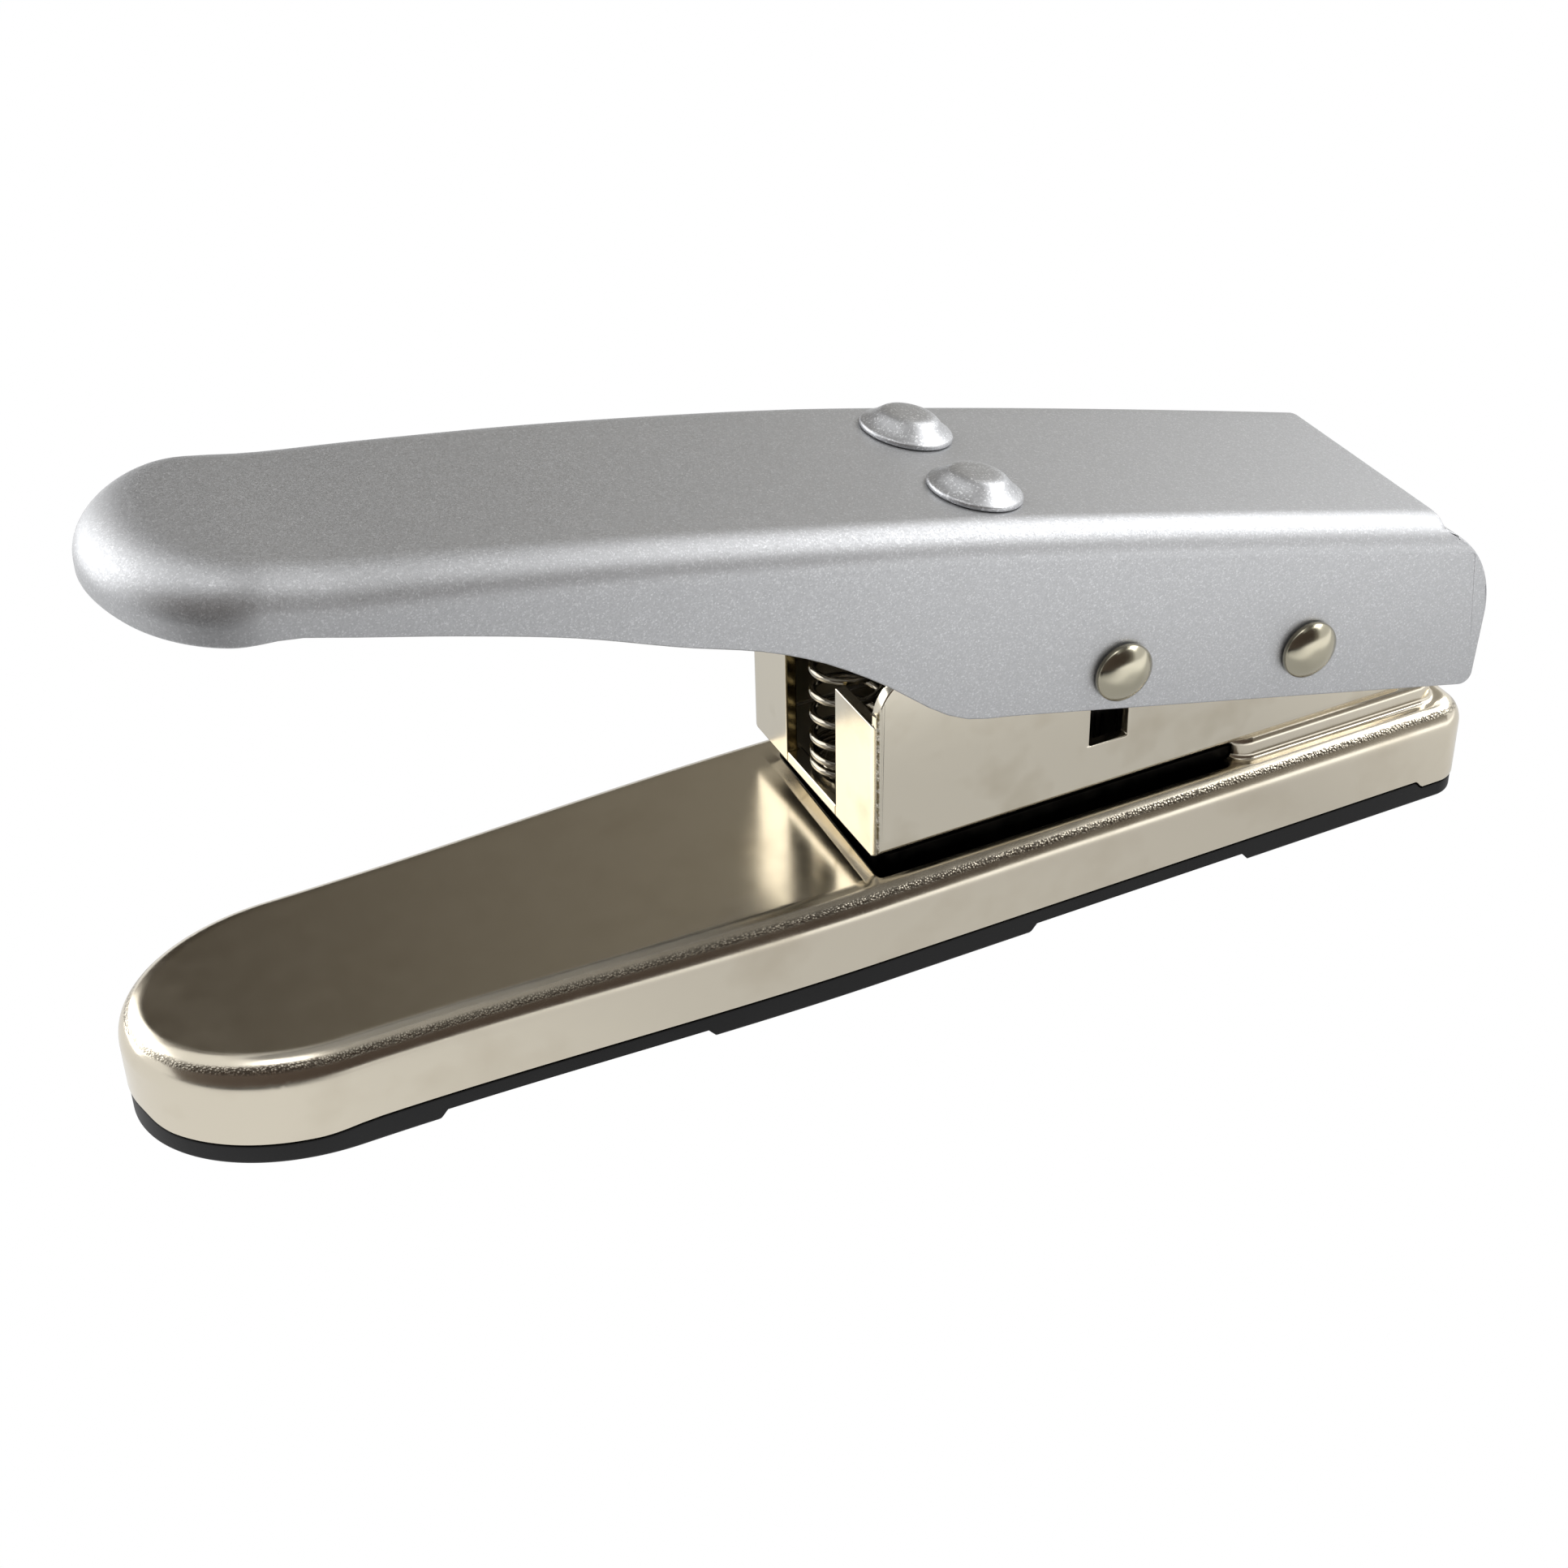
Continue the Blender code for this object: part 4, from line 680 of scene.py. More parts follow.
def make_cover():
    """Rings from the round foot up to the rim, over the clip wall and down to the pan's floor."""
    round_foot = 0.6 * MM
    rings = []
    for i in range(7):
        angle = math.pi / 2 * i / 6
        rings.append(moved_ring(OUTLINE, 0.15 * MM + round_foot * (1 - math.sin(angle)),
                                round_foot * (1 - math.cos(angle))))
    for inset, lift in ((0.15, -0.5), (0.22, -0.35), (0.4, -0.3), (1.5, -0.3)):
        rings.append(skirt_ring(inset * MM, lift * MM))
    for inset, height in ((1.5, 8.9), (1.8, 9.2), (2.5, 9.2), (2.8, 8.9), (2.8, 3.1), (3.3, 2.6)):
        rings.append(moved_ring(OUTLINE, inset * MM, height * MM))
    return skin_over("moulded_pan", rings)


pan = make_cover()
for low, high in FOOT_GAPS:
    shape = [(low, -2.0), (high, -2.0), (high, 0.0), (high - 1.2, 1.4), (low + 1.2, 1.4), (low, 0.0)]
    carve(pan, prism("foot_gap", [(x * MM, z * MM) for x, z in shape], -30 * MM, 30 * MM, "XZ"))
soften_edges(pan, 0.0)
dress(pan, BLACK_ABS, "black_plastic", "base", "bottom_cover")

# %% [markdown]
# ## The die frame
#
# A channel of 1.5 mm sheet holds the punch. Its cheeks are bent up from the floor, and at the front each
# cheek is folded again to make a tab. A block with rounded edges gives the outside of the bends, and a
# smaller block hollows it. A Bevel modifier rounds the edges rather than the bevel operator, because it reads
# a weight from each edge, and the bends differ: the near front corner is the tightest.

# %% Channel
FRAME_LENGTH = 79.5 * MM
FRAME_HALF = 17.0 * MM
FRAME_INSIDE = 15.5 * MM
FRAME_LOW = 17.65 * MM
FRAME_FLOOR = 19.15 * MM
BEND = 2.0 * MM
TIGHT_BEND = 1.0 * MM
INNER_BEND = 0.6 * MM


def bent_block(name, low, high, radius, near_radius, far_radius, front_too=False):
    """Block with round edges along its foot, front_too there as well, and at the two sides of its front."""
    bm = bmesh.new()
    bmesh.ops.create_cube(bm, size=1)
    bmesh.ops.scale(bm, verts=bm.verts, vec=Vector(high) - Vector(low))
    bmesh.ops.translate(bm, verts=bm.verts, vec=(Vector(high) + Vector(low)) / 2)
    share = bm.edges.layers.float.new("bevel_weight_edge")
    for edge in bm.edges:
        a, b = (v.co for v in edge.verts)
        foot, front = max(a.z, b.z) < low[2] + 0.01 * MM, max(a.x, b.x) < low[0] + 0.01 * MM
        if foot and (front_too if front else abs(a.x - b.x) > 1 * MM):
            edge[share] = 1.0
        elif front and abs(a.z - b.z) > 1 * MM:
            edge[share] = (near_radius if a.y < 0 else far_radius) / radius
    item = as_object(name, bm)
    bevel = item.modifiers.new("bends", "BEVEL")
    bevel.width = radius
    bevel.segments = 10
    bevel.limit_method = "WEIGHT"
    bevel.use_clamp_overlap = False
    apply_modifiers(item)
    return item


channel = bent_block("die_channel", (0, -FRAME_HALF, FRAME_LOW), (FRAME_LENGTH, FRAME_HALF, 46 * MM), BEND,
                     TIGHT_BEND, BEND)
carve(channel, bent_block("inside", (1.5 * MM, -FRAME_INSIDE, FRAME_FLOOR), (81 * MM, FRAME_INSIDE, 48 * MM),
                          INNER_BEND, INNER_BEND, INNER_BEND, True))
print("channel:", len(channel.data.polygons), "faces")

# %% [markdown]
# A side view trims the channel: a shoulder behind the tabs, and a large round at the rear, which clears the
# handle as it turns. Then come the openings: the gap between the tabs, the plectrum's hole in the floor, a
# slot in each cheek for the pin that drives the punch, the pivot's holes and the rivets' holes.

# %% Side view and openings
FRAME_TOP = 43.2 * MM
CHEEK_FRONT = 0.25 * MM
CHEEK_REAR = 78.5 * MM
SHOULDER_ROUND = 6.0 * MM
REAR_ROUND = 18.5 * MM
TAB_TOP = 36.45 * MM
TAB_GAP_HALF = 6.55 * MM
PIVOT = (59.7 * MM, 30.85 * MM)
DRIVE = (32.3 * MM, 35.95 * MM)
PIN_HOLE = 2.3 * MM
SPRING_X = 5.3 * MM
PICK_HALF_LENGTH = 15.5 * MM
PICK_HALF_WIDTH = 12.2 * MM
PICK_TIP = 1.209 * MM
PICK_SHOULDER = 2.196 * MM


def frame_side_view():
    """The cheek from the side, with the tab's shoulder in front and a quarter round at the rear."""
    low = 15 * MM
    outline = [(-2 * MM, low), (CHEEK_REAR, low)]
    outline += arc(CHEEK_REAR - REAR_ROUND, FRAME_TOP - REAR_ROUND, REAR_ROUND, 0, 90, 40)
    shoulder = arc(CHEEK_FRONT + SHOULDER_ROUND, FRAME_TOP - SHOULDER_ROUND, SHOULDER_ROUND, 90, 172, 24)
    return outline + shoulder + [(-2 * MM, shoulder[-1][1])]


def pick_outline(clearance, steps=120):
    """Plectrum outline with its tip to the front: an ellipse with pushed-out shoulders."""
    spots = []
    for i in range(steps):
        angle = 2 * math.pi * i / steps
        x = (PICK_HALF_LENGTH + clearance) * math.cos(angle) + PICK_TIP * math.cos(2 * angle)
        y = (PICK_HALF_WIDTH + clearance) * math.sin(angle) - PICK_SHOULDER * math.sin(2 * angle)
        spots.append((DRIVE[0] - x, -y))
    return spots


carve(channel, prism("side_view", frame_side_view(), -20 * MM, 20 * MM, "XZ"), "INTERSECT")
tab_gap = [(-2 * MM, -TAB_GAP_HALF), (4 * MM, -TAB_GAP_HALF), (4 * MM, TAB_GAP_HALF), (-2 * MM, TAB_GAP_HALF)]
carve(channel, prism("tab_gap", tab_gap, FRAME_FLOOR, 50 * MM))
above_tabs = [(-2, -20), (0.25, -20), (0.25, -15.35), (4, -15.35),
              (4, 15.35), (0.25, 15.35), (0.25, 20), (-2, 20)]
carve(channel, prism("above_tabs", [(x * MM, y * MM) for x, y in above_tabs], TAB_TOP, 52 * MM))
carve(channel, prism("pick_hole", pick_outline(0.3 * MM), 15 * MM, 21 * MM))
slot = [(29.5 * MM, 24.75 * MM), (34.9 * MM, 24.75 * MM), (34.9 * MM, 38.25 * MM), (29.5 * MM, 38.25 * MM)]
carve(channel, prism("pin_slots", slot, -20 * MM, 20 * MM, "XZ"))
carve(channel, hole(PIN_HOLE, *PIVOT, -20 * MM, 20 * MM, "Y"))
for x, y in RIVETS + [(SPRING_X, 0.0)]:
    carve(channel, hole(RIVET_HOLE, x, y, 15 * MM, 21 * MM))
soften_edges(channel, 0.22 * MM, 3)
dress(channel, FRAME_NICKEL, "nickel_plate", "base", "die_frame")

# %% [markdown]
# ## The handle
#
# The handle is a deep channel of 1.2 mm sheet: flat on top, with a broad round edge, and closed round its
# nose. A grid of points is laid over it like a cloth: one direction runs along the near side, round the
# nose and back along the far side, the other climbs the wall, turns over the edge and crosses the top to
# the middle line. Seen from the side, the top and the lower edge are smooth lines through chosen points,
# each a share of the handle's length and a height in millimetres.

# %% Handle lines
NOSE_X = -82.5 * MM
HANDLE_LENGTH = 170.5 * MM
TOP_LINE = ((0.0, 77.7), (0.085, 75.78), (0.132, 74.04), (0.202, 72.12), (0.308, 69.0), (0.414, 65.46),
            (0.519, 61.74), (0.590, 58.92), (0.695, 54.48), (0.801, 49.8), (0.907, 45.0), (1.0, 40.68))
LOWER_LINE = ((0.0, 70.92), (0.022, 69.78), (0.062, 68.79), (0.085, 68.7), (0.100, 68.52), (0.132, 67.08),
              (0.202, 63.9), (0.273, 60.24), (0.343, 55.68), (0.396, 52.56), (0.432, 49.68), (0.461, 46.62),
              (0.492, 42.72), (0.511, 39.9), (0.530, 37.32), (0.548, 35.58), (0.566, 34.62), (0.585, 33.96))
EAR_REAR = 85.44 * MM
EAR_FOOT = 17.29


def read_line(table, x):
    """Height on a line of chosen points, smoothed by a cubic through its neighbours."""
    share = min(max((x - NOSE_X) / HANDLE_LENGTH, table[0][0]), table[-1][0])
    i = max(k for k in range(len(table) - 1) if table[k][0] <= share)
    before, low, high, after = table[max(i - 1, 0)], table[i], table[i + 1], table[min(i + 2, len(table) - 1)]
    span = high[0] - low[0]
    start = (high[1] - before[1]) / (high[0] - before[0]) * span
    end = (after[1] - low[1]) / (after[0] - low[0]) * span
    t = (share - low[0]) / span
    return MM * ((2 * t ** 3 - 3 * t ** 2 + 1) * low[1] + (t ** 3 - 2 * t ** 2 + t) * start
                 + (3 * t ** 2 - 2 * t ** 3) * high[1] + (t ** 3 - t ** 2) * end)


def lower_edge(x):
    """Height of the handle's lower edge, with its straight run down to the ear's foot."""
    share, start = LOWER_LINE[-1]
    straight = NOSE_X + HANDLE_LENGTH * share
    if x < straight:
        return read_line(LOWER_LINE, x)
    fall = (x - straight) / (EAR_REAR - straight)
    return (start - (start - EAR_FOOT) * fall) * MM


print("handle top at the rivets:", round(read_line(TOP_LINE, 17.4 * MM) / MM, 2), "mm")

# %% [markdown]
# From above, the handle is widest at the rear and ends in a half-ellipse at the nose. One number runs from
# the nose's tip, at 0, to the rear end, at 1, and gives a place on this plan. The round edge leans inwards
# from there, at a right angle to the plan, and is much broader round the nose. Each point of a plain grid
# is then moved to its place, so that the faces stay even all the way round.

# %% Handle plan and skin
HANDLE_HALF = 18.5 * MM
HANDLE_NOSE = 14.5 * MM
HANDLE_END = 90 * MM
TAPER_LENGTH = 97.0 * MM
NOSE_PART = 0.4
EDGE_ROUND = 4.3 * MM
EDGE_GROWTH = 1.2 * MM
NOSE_EDGE_ACROSS = 8.4 * MM
NOSE_EDGE_DOWN = 5.6 * MM


def handle_half(x):
    """Half the handle's width, which shrinks towards the nose."""
    return HANDLE_HALF - 3.1 * MM * (max(-x, 0.0) / TAPER_LENGTH) ** 1.3


def plan_point(along):
    """Far side of the handle's plan: 0 is the tip of the nose and 1 the rear end."""
    start = NOSE_X + HANDLE_NOSE
    if along < NOSE_PART:
        angle = math.pi / 2 * (1 - along / NOSE_PART)
        x = start - HANDLE_NOSE * math.sin(angle)
        return Vector((x, handle_half(x) * math.cos(angle)))
    x = start + (HANDLE_END - start) * (along - NOSE_PART) / (1 - NOSE_PART)
    return Vector((x, handle_half(x)))


def plan_inward(along):
    """Direction to the inside of the plan, at a right angle to its side."""
    step = 0.002
    if along < step:
        return Vector((1, 0))
    ahead = plan_point(min(along + step, 1.0)) - plan_point(along - step)
    return Vector((ahead.y, -ahead.x)).normalized()


def cloth_point(along, row):
    """A point of the outer skin on the far side; rows 0 and 1 are the wall, 2 to 15 the round edge."""
    place, side = plan_point(along), plan_inward(along)
    if row == 0:
        return Vector((place.x, place.y, lower_edge(place.x)))
    front = smooth(-place.x / TAPER_LENGTH)
    nose = side.x ** 2 if along < NOSE_PART else 0.0
    edge = EDGE_ROUND + EDGE_GROWTH * front
    across = edge + (NOSE_EDGE_ACROSS - edge) * nose
    down = edge + (NOSE_EDGE_DOWN - edge) * nose
    angle = math.pi / 2 * min((row - 1) / 14, 1.0)
    spot = place + side * across * (1 - math.cos(angle))
    middle = max((row - 15) / 6, 0.0)
    target = Vector((max(spot.x, NOSE_X + HANDLE_NOSE), 0.0))
    spot = spot.lerp(target, middle)
    return Vector((spot.x, spot.y, read_line(TOP_LINE, spot.x) - down * (1 - math.sin(angle))))


ROWS = 22
COLUMNS = 201
bm = bmesh.new()
bmesh.ops.create_grid(bm, x_segments=COLUMNS, y_segments=ROWS - 1, size=1)
for vert in bm.verts:
    spot = cloth_point(abs(vert.co.x), round((vert.co.y + 1) / 2 * (ROWS - 1)))
    vert.co = (spot.x, spot.y * (1 if vert.co.x > 0 else -1), spot.z)
bmesh.ops.remove_doubles(bm, verts=bm.verts, dist=0.002 * MM)
handle = as_object("lever_handle", bm)
print("handle skin:", len(handle.data.polygons), "faces")

# %% [markdown]
# The skin then gets the sheet's thickness, inwards, once its normals are sure to point out. The lowest row
# of the grid follows the handle's lower edge, so the sheet's rim comes out even. Only the rear is trimmed,
# to the round ears and to the end of the top sheet between them. Last come the holes for the pins, and the
# rims are rounded by a quarter of a millimetre, because paint is thick there.

# %% Handle sheet
TOP_END = 80.5 * MM
EAR_MIDDLE = (72.5 * MM, 28.15 * MM)
EAR_ROUND = 15.5 * MM


def behind_the_ears():
    """Side view of all that is cut away behind the ears and behind the top sheet."""
    end = math.degrees(math.acos((TOP_END - EAR_MIDDLE[0]) / EAR_ROUND))
    outline = [(TOP_END, 90 * MM)] + arc(*EAR_MIDDLE, EAR_ROUND, end, 0, 24)
    outline += arc(85.8 * MM, 18.85 * MM, 1.6 * MM, 0, -103, 10)
    return outline + [(EAR_REAR, 5 * MM), (99 * MM, 5 * MM), (99 * MM, 90 * MM)]


first = handle.data.polygons[0]
if first.normal.dot(first.center - Vector((0, 0, first.center.z))) < 0:
    handle.data.flip_normals()
wall = handle.modifiers.new("sheet", "SOLIDIFY")
wall.thickness = SHEET
wall.offset = -1
wall.use_even_offset = True
apply_modifiers(handle)
carve(handle, prism("behind_the_ears", behind_the_ears(), -25 * MM, 25 * MM, "XZ"))
for x, z in (PIVOT, DRIVE):
    carve(handle, hole(PIN_HOLE, x, z, -25 * MM, 25 * MM, "Y"))
soften_edges(handle, 0.25 * MM, 3, 50)
dress(handle, SILVER_PAINT, "silver_paint", "lever", "handle")

# %% [markdown]
# ## Rivets and pins
#
# The two large rivets on the handle's top are painted with it, in a copy with lighter bright flakes as
# painted light on their slopes: low cones with a softly rounded flat. The pins that carry the handle and the
# punch end in domed nickel heads with a narrow rim, in a darker nickel as painted shade. Each is a profile of
# radius and height, spun round its axis, which keeps its turned faces perfectly round.

# %% Top rivets
RIVET_X = 17.4 * MM
RIVET_Y = 8.25 * MM
SLOPE = math.atan2(read_line(TOP_LINE, 15.6 * MM) - read_line(TOP_LINE, 19.2 * MM), 3.6 * MM)
RIVET_SEAT = (Matrix.Translation((RIVET_X, 0, read_line(TOP_LINE, RIVET_X)))
              @ Matrix.Rotation(SLOPE, 4, "Y"))


def turned(name, profile, steps=64):
    """Spin a profile of (radius, height) about the Z axis."""
    bm = bmesh.new()
    points = [bm.verts.new((radius, 0, height)) for radius, height in profile]
    for pair in zip(points, points[1:]):
        bm.edges.new(pair)
    bmesh.ops.spin(bm, geom=bm.verts[:] + bm.edges[:], cent=(0, 0, 0), axis=(0, 0, 1), dvec=(0, 0, 0),
                   angle=2 * math.pi, steps=steps, use_merge=True)
    bmesh.ops.remove_doubles(bm, verts=bm.verts, dist=0.005 * MM)
    return as_object(name, bm)


def cone_rivet(name, y):
    """Cone above the sheet, shank through it, and the clenched end below the spring's seat plate."""
    profile = [(0.0, 2.66), (1.0, 2.66), (1.9, 2.64), (2.5, 2.58), (2.9, 2.5), (3.2, 2.39), (3.45, 2.25),
               (3.7, 2.06), (4.0, 1.8), (4.4, 1.46), (4.8, 1.16), (5.15, 0.93), (5.45, 0.77), (5.62, 0.68),
               (5.72, 0.5), (5.72, 0.2), (5.6, 0.08), (1.8, 0.08), (1.8, -3.2), (3.0, -3.2), (3.0, -3.9),
               (2.7, -4.1), (0.0, -4.1)]
    rivet = turned(name, [(r * MM, z * MM) for r, z in profile], 72)
    rivet.data.transform(RIVET_SEAT @ Matrix.Translation((0, y, 0)))
    soften_edges(rivet, 0.0, 2, 50)
    return rivet


for y, side in ((-RIVET_Y, "near"), (RIVET_Y, "far")):
    dress(cone_rivet("painted_rivet_" + side, y), LIT_RIVET_PAINT, "silver_paint", "lever", "top_rivet_" + side)


# %% Pins
HEAD_SEAT = 18.8


def domed_pin(name, x, z):
    """Pin across the handle, with a flattened dome and a thin rim at both ends."""
    head = [(3.75 * i / 16, 2.0 - 1.25 * (i / 16) ** 3) for i in range(17)]
    head += [(3.82, 0.6), (3.85, 0.45), (3.85, 0.12), (3.75, 0.0), (2.0, 0.0)]
    upper = [(r, HEAD_SEAT + h) for r, h in head]
    profile = upper + [(r, -h) for r, h in reversed(upper)]
    pin = turned(name, [(r * MM, h * MM) for r, h in profile], 72)
    pin.data.transform(Matrix.Translation((x, 0, z)) @ Matrix.Rotation(math.pi / 2, 4, "X"))
    soften_edges(pin, 0.0, 2, 50)
    return pin


dress(domed_pin("domed_pivot_pin", *PIVOT), PIN_NICKEL_SHADED, "nickel_plate", "lever", "pivot_pin")
dress(domed_pin("domed_drive_pin", *DRIVE), PIN_NICKEL_SHADED, "nickel_plate", "lever", "drive_pin")

# %% [markdown]
# ## The return spring
#
# One compression spring stands between the frame's floor and the handle. Its end turns lie close together
# and the turns between are open. Its axis bows a little, because its seat on the handle slopes. A Screw
# modifier makes only a straight spring with one pitch, so the line of the wire is worked out point by point
# and drawn as a curve with a round section.

# %% Spring line
SPRING_FOOT = Vector((SPRING_X, 0, 19.95 * MM))
SPRING_RADIUS = 4.4 * MM
WIRE_RADIUS = 0.5 * MM
TURNS = 14
CLOSE_TURNS = 2
CLOSE_PITCH = 1.5 * MM


def spring_head():
    """Middle of the spring's top turn, under the handle's sheet, two gaps and the seat plate."""
    down = SHEET + 0.6 * MM + 1.2 * MM + 0.7 * MM + WIRE_RADIUS
    return RIVET_SEAT @ Vector((-11.6 * MM, 0, -down))


def spring_points(each=40):
    """The middle of the wire, from the foot up."""
    rise = spring_head() - SPRING_FOOT
    close = CLOSE_TURNS * CLOSE_PITCH / rise.length
    points = []
    for step in range(TURNS * each + 1):
        turn = step / each
        if turn < CLOSE_TURNS:
            share = close * turn / CLOSE_TURNS
        elif turn > TURNS - CLOSE_TURNS:
            share = 1 - close * (TURNS - turn) / CLOSE_TURNS
        else:
            share = close + (1 - 2 * close) * (turn - CLOSE_TURNS) / (TURNS - 2 * CLOSE_TURNS)
        middle = SPRING_FOOT + Vector((rise.x * (share + smooth(share)) / 2, 0, rise.z * share))
        lean = SLOPE * smooth(share)
        across = Vector((math.cos(lean), 0, -math.sin(lean)))
        angle = 2 * math.pi * turn
        points.append(middle + (across * math.cos(angle) + Vector((0, math.sin(angle), 0))) * SPRING_RADIUS)
    return points


print("spring:", TURNS, "turns,", round((spring_head() - SPRING_FOOT).length / MM, 1), "mm tall")


# %% Spring wire
def make_spring():
    """Draw the line as a round wire and take its mesh."""
    curve = bpy.data.curves.new("spring_wire", "CURVE")
    curve.dimensions = "3D"
    curve.bevel_depth = WIRE_RADIUS
    curve.bevel_resolution = 4
    curve.use_fill_caps = True
    points = spring_points()
    spline = curve.splines.new("POLY")
    spline.points.add(len(points) - 1)
    for point, place in zip(spline.points, points):
        point.co = (*place, 1.0)
    drawn = bpy.data.objects.new("spring_wire", curve)
    bpy.context.scene.collection.objects.link(drawn)
    depsgraph = bpy.context.evaluated_depsgraph_get()
    mesh = bpy.data.meshes.new_from_object(drawn.evaluated_get(depsgraph))
    bpy.data.objects.remove(drawn)
    bm = bmesh.new()
    bm.from_mesh(mesh)
    bmesh.ops.remove_doubles(bm, verts=bm.verts, dist=0.005 * MM)
    return as_object("coiled_spring", bm)


spring = make_spring()
soften_edges(spring, 0.0, 2, 60)
dress(spring, SPRING_WIRE_SHADED, "spring_steel", "base", "return_spring")
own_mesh(spring)

# %% [markdown]
# ## The pieces inside
#
# The punch, the die plate, the spring's seats and the clamp rivets are shaped well enough by the frame.
# A copy of each is merged from its loose triangles, and its flat faces are joined. The edges of the punch,
# the die plate and the seat plate are rounded by a fifth of a millimetre or less, which is what makes a
# machined edge catch light. The turned pieces already have their round edges.

# %% Merged copies
def refined_copy(node, name, finish, slot, body, width):
    """A clean copy of a node of the frame, with its sharp edges rounded by width."""
    bm = bmesh.new()
    bm.from_mesh(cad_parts[node].data)
    bmesh.ops.remove_doubles(bm, verts=bm.verts, dist=0.002 * MM)
    bmesh.ops.dissolve_limit(bm, angle_limit=math.radians(1), verts=bm.verts, edges=bm.edges)
    item = as_object(name, bm)
    soften_edges(item, width, 2, 50)
    return dress(item, finish, slot, body, node)


refined_copy("punch", "ground_punch", GROUND_STEEL, "ground_tool_steel", "cutter", 0.2 * MM)
refined_copy("die_plate", "black_die", BLACK_OXIDE, "blackened_tool_steel", "base", 0.2 * MM)
refined_copy("spring_stud", "spring_seat_stud", FRAME_NICKEL, "nickel_plate", "base", 0.0)
refined_copy("spring_retainer", "spring_seat_plate", FRAME_NICKEL, "nickel_plate", "lever", 0.15 * MM)
for end in ("front", "rear"):
    for side in ("near", "far"):
        refined_copy(f"frame_rivet_{end}_{side}", f"clamp_rivet_{end}_{side}", PIN_NICKEL_SHADED, "nickel_plate",
                     "base", 0.0)

# %% [markdown]
# ## Studio: the white sweep
#
# The photograph was taken on white paper. A lit sheet of paper shows dim patches of its own and grey noise,
# so the floor here is plain white to the camera. Polished metal still has to mirror a floor with pools of
# light and shade on it, so mirrors get a painted version: dimmer beside the tool than far from it, and
# brightening from left to right in front of it. Rays that light other surfaces see ordinary white paper,
# which also takes the tool's shadow.

# %% Paper floor
def stage_plane(name, size, material):
    """A flat sheet that belongs to the studio, not to the tool."""
    bm = bmesh.new()
    bmesh.ops.create_grid(bm, x_segments=1, y_segments=1, size=0.5)
    bmesh.ops.scale(bm, verts=bm.verts, vec=(size[0], size[1], 1))
    plane = as_object(name, bm)
    plane.data.materials.append(material)
    return plane


def seen_by_eye_or_mirror(tree):
    """One for camera, glossy and transmission rays, and zero for the rays that light surfaces."""
    path = add_node(tree, "ShaderNodeLightPath")
    seen = add_node(tree, "ShaderNodeMath", {0: path.outputs["Is Camera Ray"],
                                             1: path.outputs["Is Glossy Ray"]}, operation="MAXIMUM")
    return add_node(tree, "ShaderNodeMath", {0: seen.outputs[0], 1: path.outputs["Is Transmission Ray"]},
                    operation="MAXIMUM").outputs[0]


def paper_finish():
    """White paper: plain white to the eye; mirrors see the pools of light and shade on it."""
    material, tree, shader, place = new_finish("white paper sweep")
    shader.inputs["Base Color"].default_value = linear("#F2F2F2")
    shader.inputs["Roughness"].default_value = 0.9
    axes = add_node(tree, "ShaderNodeSeparateXYZ", {"Vector": place})
    along = add_node(tree, "ShaderNodeMapRange", {"Value": axes.outputs["X"], "From Min": -100 * MM,
                                                  "From Max": 100 * MM})
    beside = add_node(tree, "ShaderNodeValToRGB", {"Fac": along.outputs[0]},
                      [(0.1, 0.93), (0.45, 0.72), (0.85, 0.67), (1.0, 0.85)])
    in_front = add_node(tree, "ShaderNodeMapRange", {"Value": axes.outputs["X"], "From Min": -160 * MM,
                                                     "From Max": 110 * MM, "To Min": 0.0, "To Max": 1.85})
    nearness = add_node(tree, "ShaderNodeMapRange", {"Value": axes.outputs["Y"], "From Min": -85 * MM,
                                                     "From Max": -60 * MM}, interpolation_type="SMOOTHSTEP")
    shade = add_node(tree, "ShaderNodeMix", {"Factor": nearness.outputs[0], "A": in_front.outputs[0],
                                             "B": beside.outputs["Color"]})
    path = add_node(tree, "ShaderNodeLightPath")
    plain = add_node(tree, "ShaderNodeMix", {"Factor": path.outputs["Is Camera Ray"],
                                             "A": shade.outputs[0], "B": 1.0})
    glow = add_node(tree, "ShaderNodeEmission", {"Color": linear("#FFFFFF"), "Strength": plain.outputs[0]})
    both = add_node(tree, "ShaderNodeMixShader", {0: seen_by_eye_or_mirror(tree), 1: shader.outputs[0],
                                                  2: glow.outputs[0]})
    tree.links.new(both.outputs[0], tree.nodes["Material Output"].inputs["Surface"])
    return material


floor = stage_plane("paper_floor", (8, 8), paper_finish())
floor.location = (0, 0, -0.2 * MM)
print("floor:", floor.name, "0.2 mm below the feet")

# %% [markdown]
# ## Studio: what the metal mirrors
#
# Metal shows its surroundings, so they matter more than the lamps. Mirror directions tell where they stood:
# the deck looks dark because it mirrors a dark wall behind the tool, and the dark band under each round
# edge mirrors the dark side behind the camera. A grey ceiling joins them, lighter to the left. All three
# are cards that only reflections can see, so they neither light the tool nor cover the white background.

# %% Reflected cards
def from_bearing(bearing, rise, distance):
    """A place seen from the tool at a bearing from +Y towards +X and at an angle above the floor."""
    bearing, rise = math.radians(bearing), math.radians(rise)
    return Vector((math.sin(bearing) * math.cos(rise), math.cos(bearing) * math.cos(rise),
                   math.sin(rise))) * distance


def aimed(item, place, axis):
    """Stand an item at a place, turned with one axis to the tool."""
    item.location = place
    item.rotation_euler = (Vector((0, 0, 0.03)) - Vector(place)).to_track_quat(axis, "Y").to_euler()
    return item


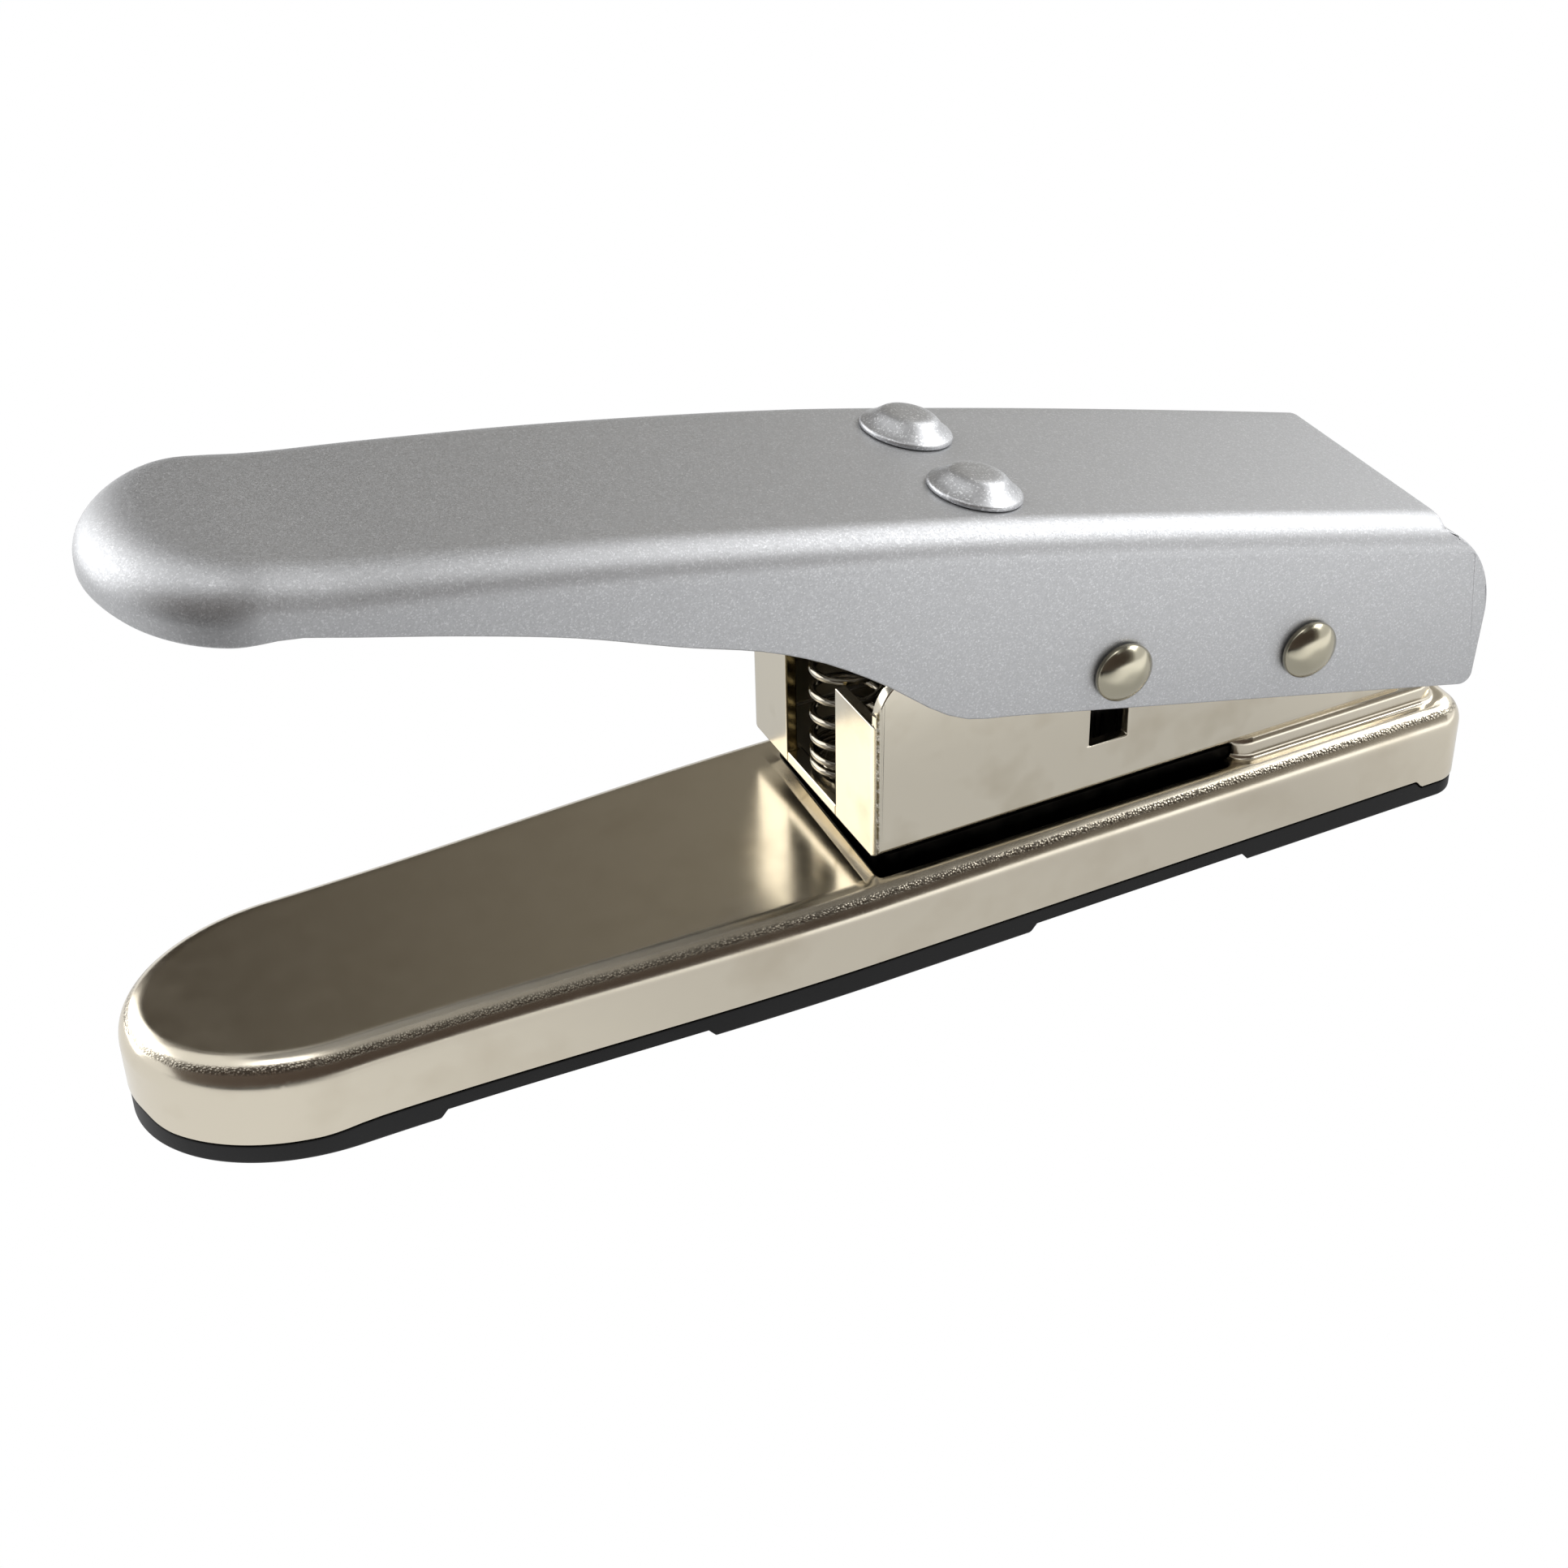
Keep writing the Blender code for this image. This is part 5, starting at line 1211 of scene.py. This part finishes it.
def card_finish(name, tones, half_width):
    """Dark card whose tone runs through a few stops from its left end to its right end."""
    material, tree, _, place = new_finish(name)
    along = add_node(tree, "ShaderNodeSeparateXYZ", {"Vector": place}).outputs["X"]
    share = add_node(tree, "ShaderNodeMapRange", {"Value": along, "From Min": -half_width,
                                                  "From Max": half_width})
    tone = add_node(tree, "ShaderNodeValToRGB", {"Fac": share.outputs[0]},
                    [(position, linear(code)) for position, code in tones])
    glow = add_node(tree, "ShaderNodeEmission", {"Color": tone.outputs["Color"], "Strength": 1.0})
    tree.links.new(glow.outputs[0], tree.nodes["Material Output"].inputs["Surface"])
    return material


def reflected_card(name, half, tones):
    """Card of two half sizes that only mirrors see."""
    card = stage_plane(name, (2 * half[0], 2 * half[1]), card_finish(name, tones, half[0]))
    for way in ("camera", "diffuse", "transmission", "volume_scatter", "shadow"):
        setattr(card, "visible_" + way, False)
    return card


def standing_card(name, bearing, rise, distance, half_angles, tones):
    """Card that faces the tool; its half sizes are the angles that the tool sees it under."""
    half = [math.tan(math.radians(a)) * distance for a in half_angles]
    return aimed(reflected_card(name, half, tones), from_bearing(bearing, rise, distance), "Z")


wall_card = standing_card("dark_wall_behind", 15, 33, 1.2, (36, 30),
                          ((0.36, "#433D36"), (0.64, "#908B81"), (1.0, "#BCB9B2")))
room_card = standing_card("dark_room_in_front", 201, 31, 1.3, (59, 30),
                          ((0.0, "#A09A90"), (0.12, "#7F796F"), (0.22, "#4A413B"), (0.5, "#5A504A"),
                           (1.0, "#6E6660")))
ceiling = reflected_card("grey_ceiling", (0.34, 0.88),
                         ((0.0, "#E4E4E2"), (0.2, "#A8A6A3"), (0.4, "#807D79"), (0.7, "#67645F"),
                          (1.0, "#5A5753")))
ceiling.location = (0.28, -0.12, 1.0)
print("cards:", [card.name for card in (wall_card, room_card, ceiling)])

# %% [markdown]
# ## Studio: softboxes and white room
#
# The nose ends shine, so a large softbox stood to the far left. The bright line along the handle's edge
# needs one high on the right, and the light round the base's nose a small one nearly overhead. A white
# world fills the shadows. It is a little dimmer as a light than as a background, so that the lamps still
# shape the paint.

# %% Softboxes and world
def soft_lamp(name, bearing, rise, distance, half_angles, radiance):
    """Rectangular softbox; its power follows from how bright its face should look."""
    width, height = [2 * math.tan(math.radians(a)) * distance for a in half_angles]
    lamp = bpy.data.lights.new(name, "AREA")
    lamp.shape = "RECTANGLE"
    lamp.size = width
    lamp.size_y = height
    lamp.energy = radiance * math.pi * width * height
    item = bpy.data.objects.new(name, lamp)
    bpy.context.scene.collection.objects.link(item)
    return aimed(item, from_bearing(bearing, rise, distance), "-Z")


lamps = [soft_lamp("softbox_far_left", -43, 25, 1.1, (25, 25), 2.5),
         soft_lamp("softbox_high_right", 97, 39, 1.1, (27, 11), 4.4),
         soft_lamp("softbox_over_nose", -140, 78, 1.3, (8, 8), 2.6)]

world = bpy.data.worlds.new("white studio")
bpy.context.scene.world = world
world.use_nodes = True
tree = world.node_tree
level = add_node(tree, "ShaderNodeMapRange", {"Value": seen_by_eye_or_mirror(tree), "To Min": 0.6,
                                              "To Max": 1.0})
tree.links.new(level.outputs[0], tree.nodes["Background"].inputs["Strength"])
tree.nodes["Background"].inputs["Color"].default_value = (1, 1, 1, 1)
print("lamps:", {lamp.name: round(lamp.data.energy, 2) for lamp in lamps})

# %% [markdown]
# ## Camera
#
# The camera was fitted to the straight edges of the photograph: it stands low to the left of the nose and
# looks down along the tool, rolled by one degree. The fit gave the focal length in pixels of the picture's
# width, which one division turns into millimetres on the sensor.

# %% Camera
SENSOR = 36
FOCAL_PIXELS = 3266.5
PICTURE_PIXELS = 1932

lens = bpy.data.cameras.new("portrait")
lens.sensor_width = SENSOR
lens.lens = SENSOR * FOCAL_PIXELS / PICTURE_PIXELS
lens.clip_start = 0.01
camera = bpy.data.objects.new("portrait", lens)
bpy.context.scene.collection.objects.link(camera)
camera.location = (-119.41 * MM, -239.0 * MM, 209.48 * MM)
camera.rotation_euler = [math.radians(a) for a in (54.4234, 1.0071, -26.5500)]
bpy.context.scene.camera = camera
bpy.context.scene.view_settings.view_transform = "Standard"
print("lens:", round(lens.lens, 1), "mm")

# %% Finish
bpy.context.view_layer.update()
shown = [item for item in bpy.data.objects if item.type == "MESH" and not item.hide_render]
print("faces in all:", sum(len(item.data.polygons) for item in shown))
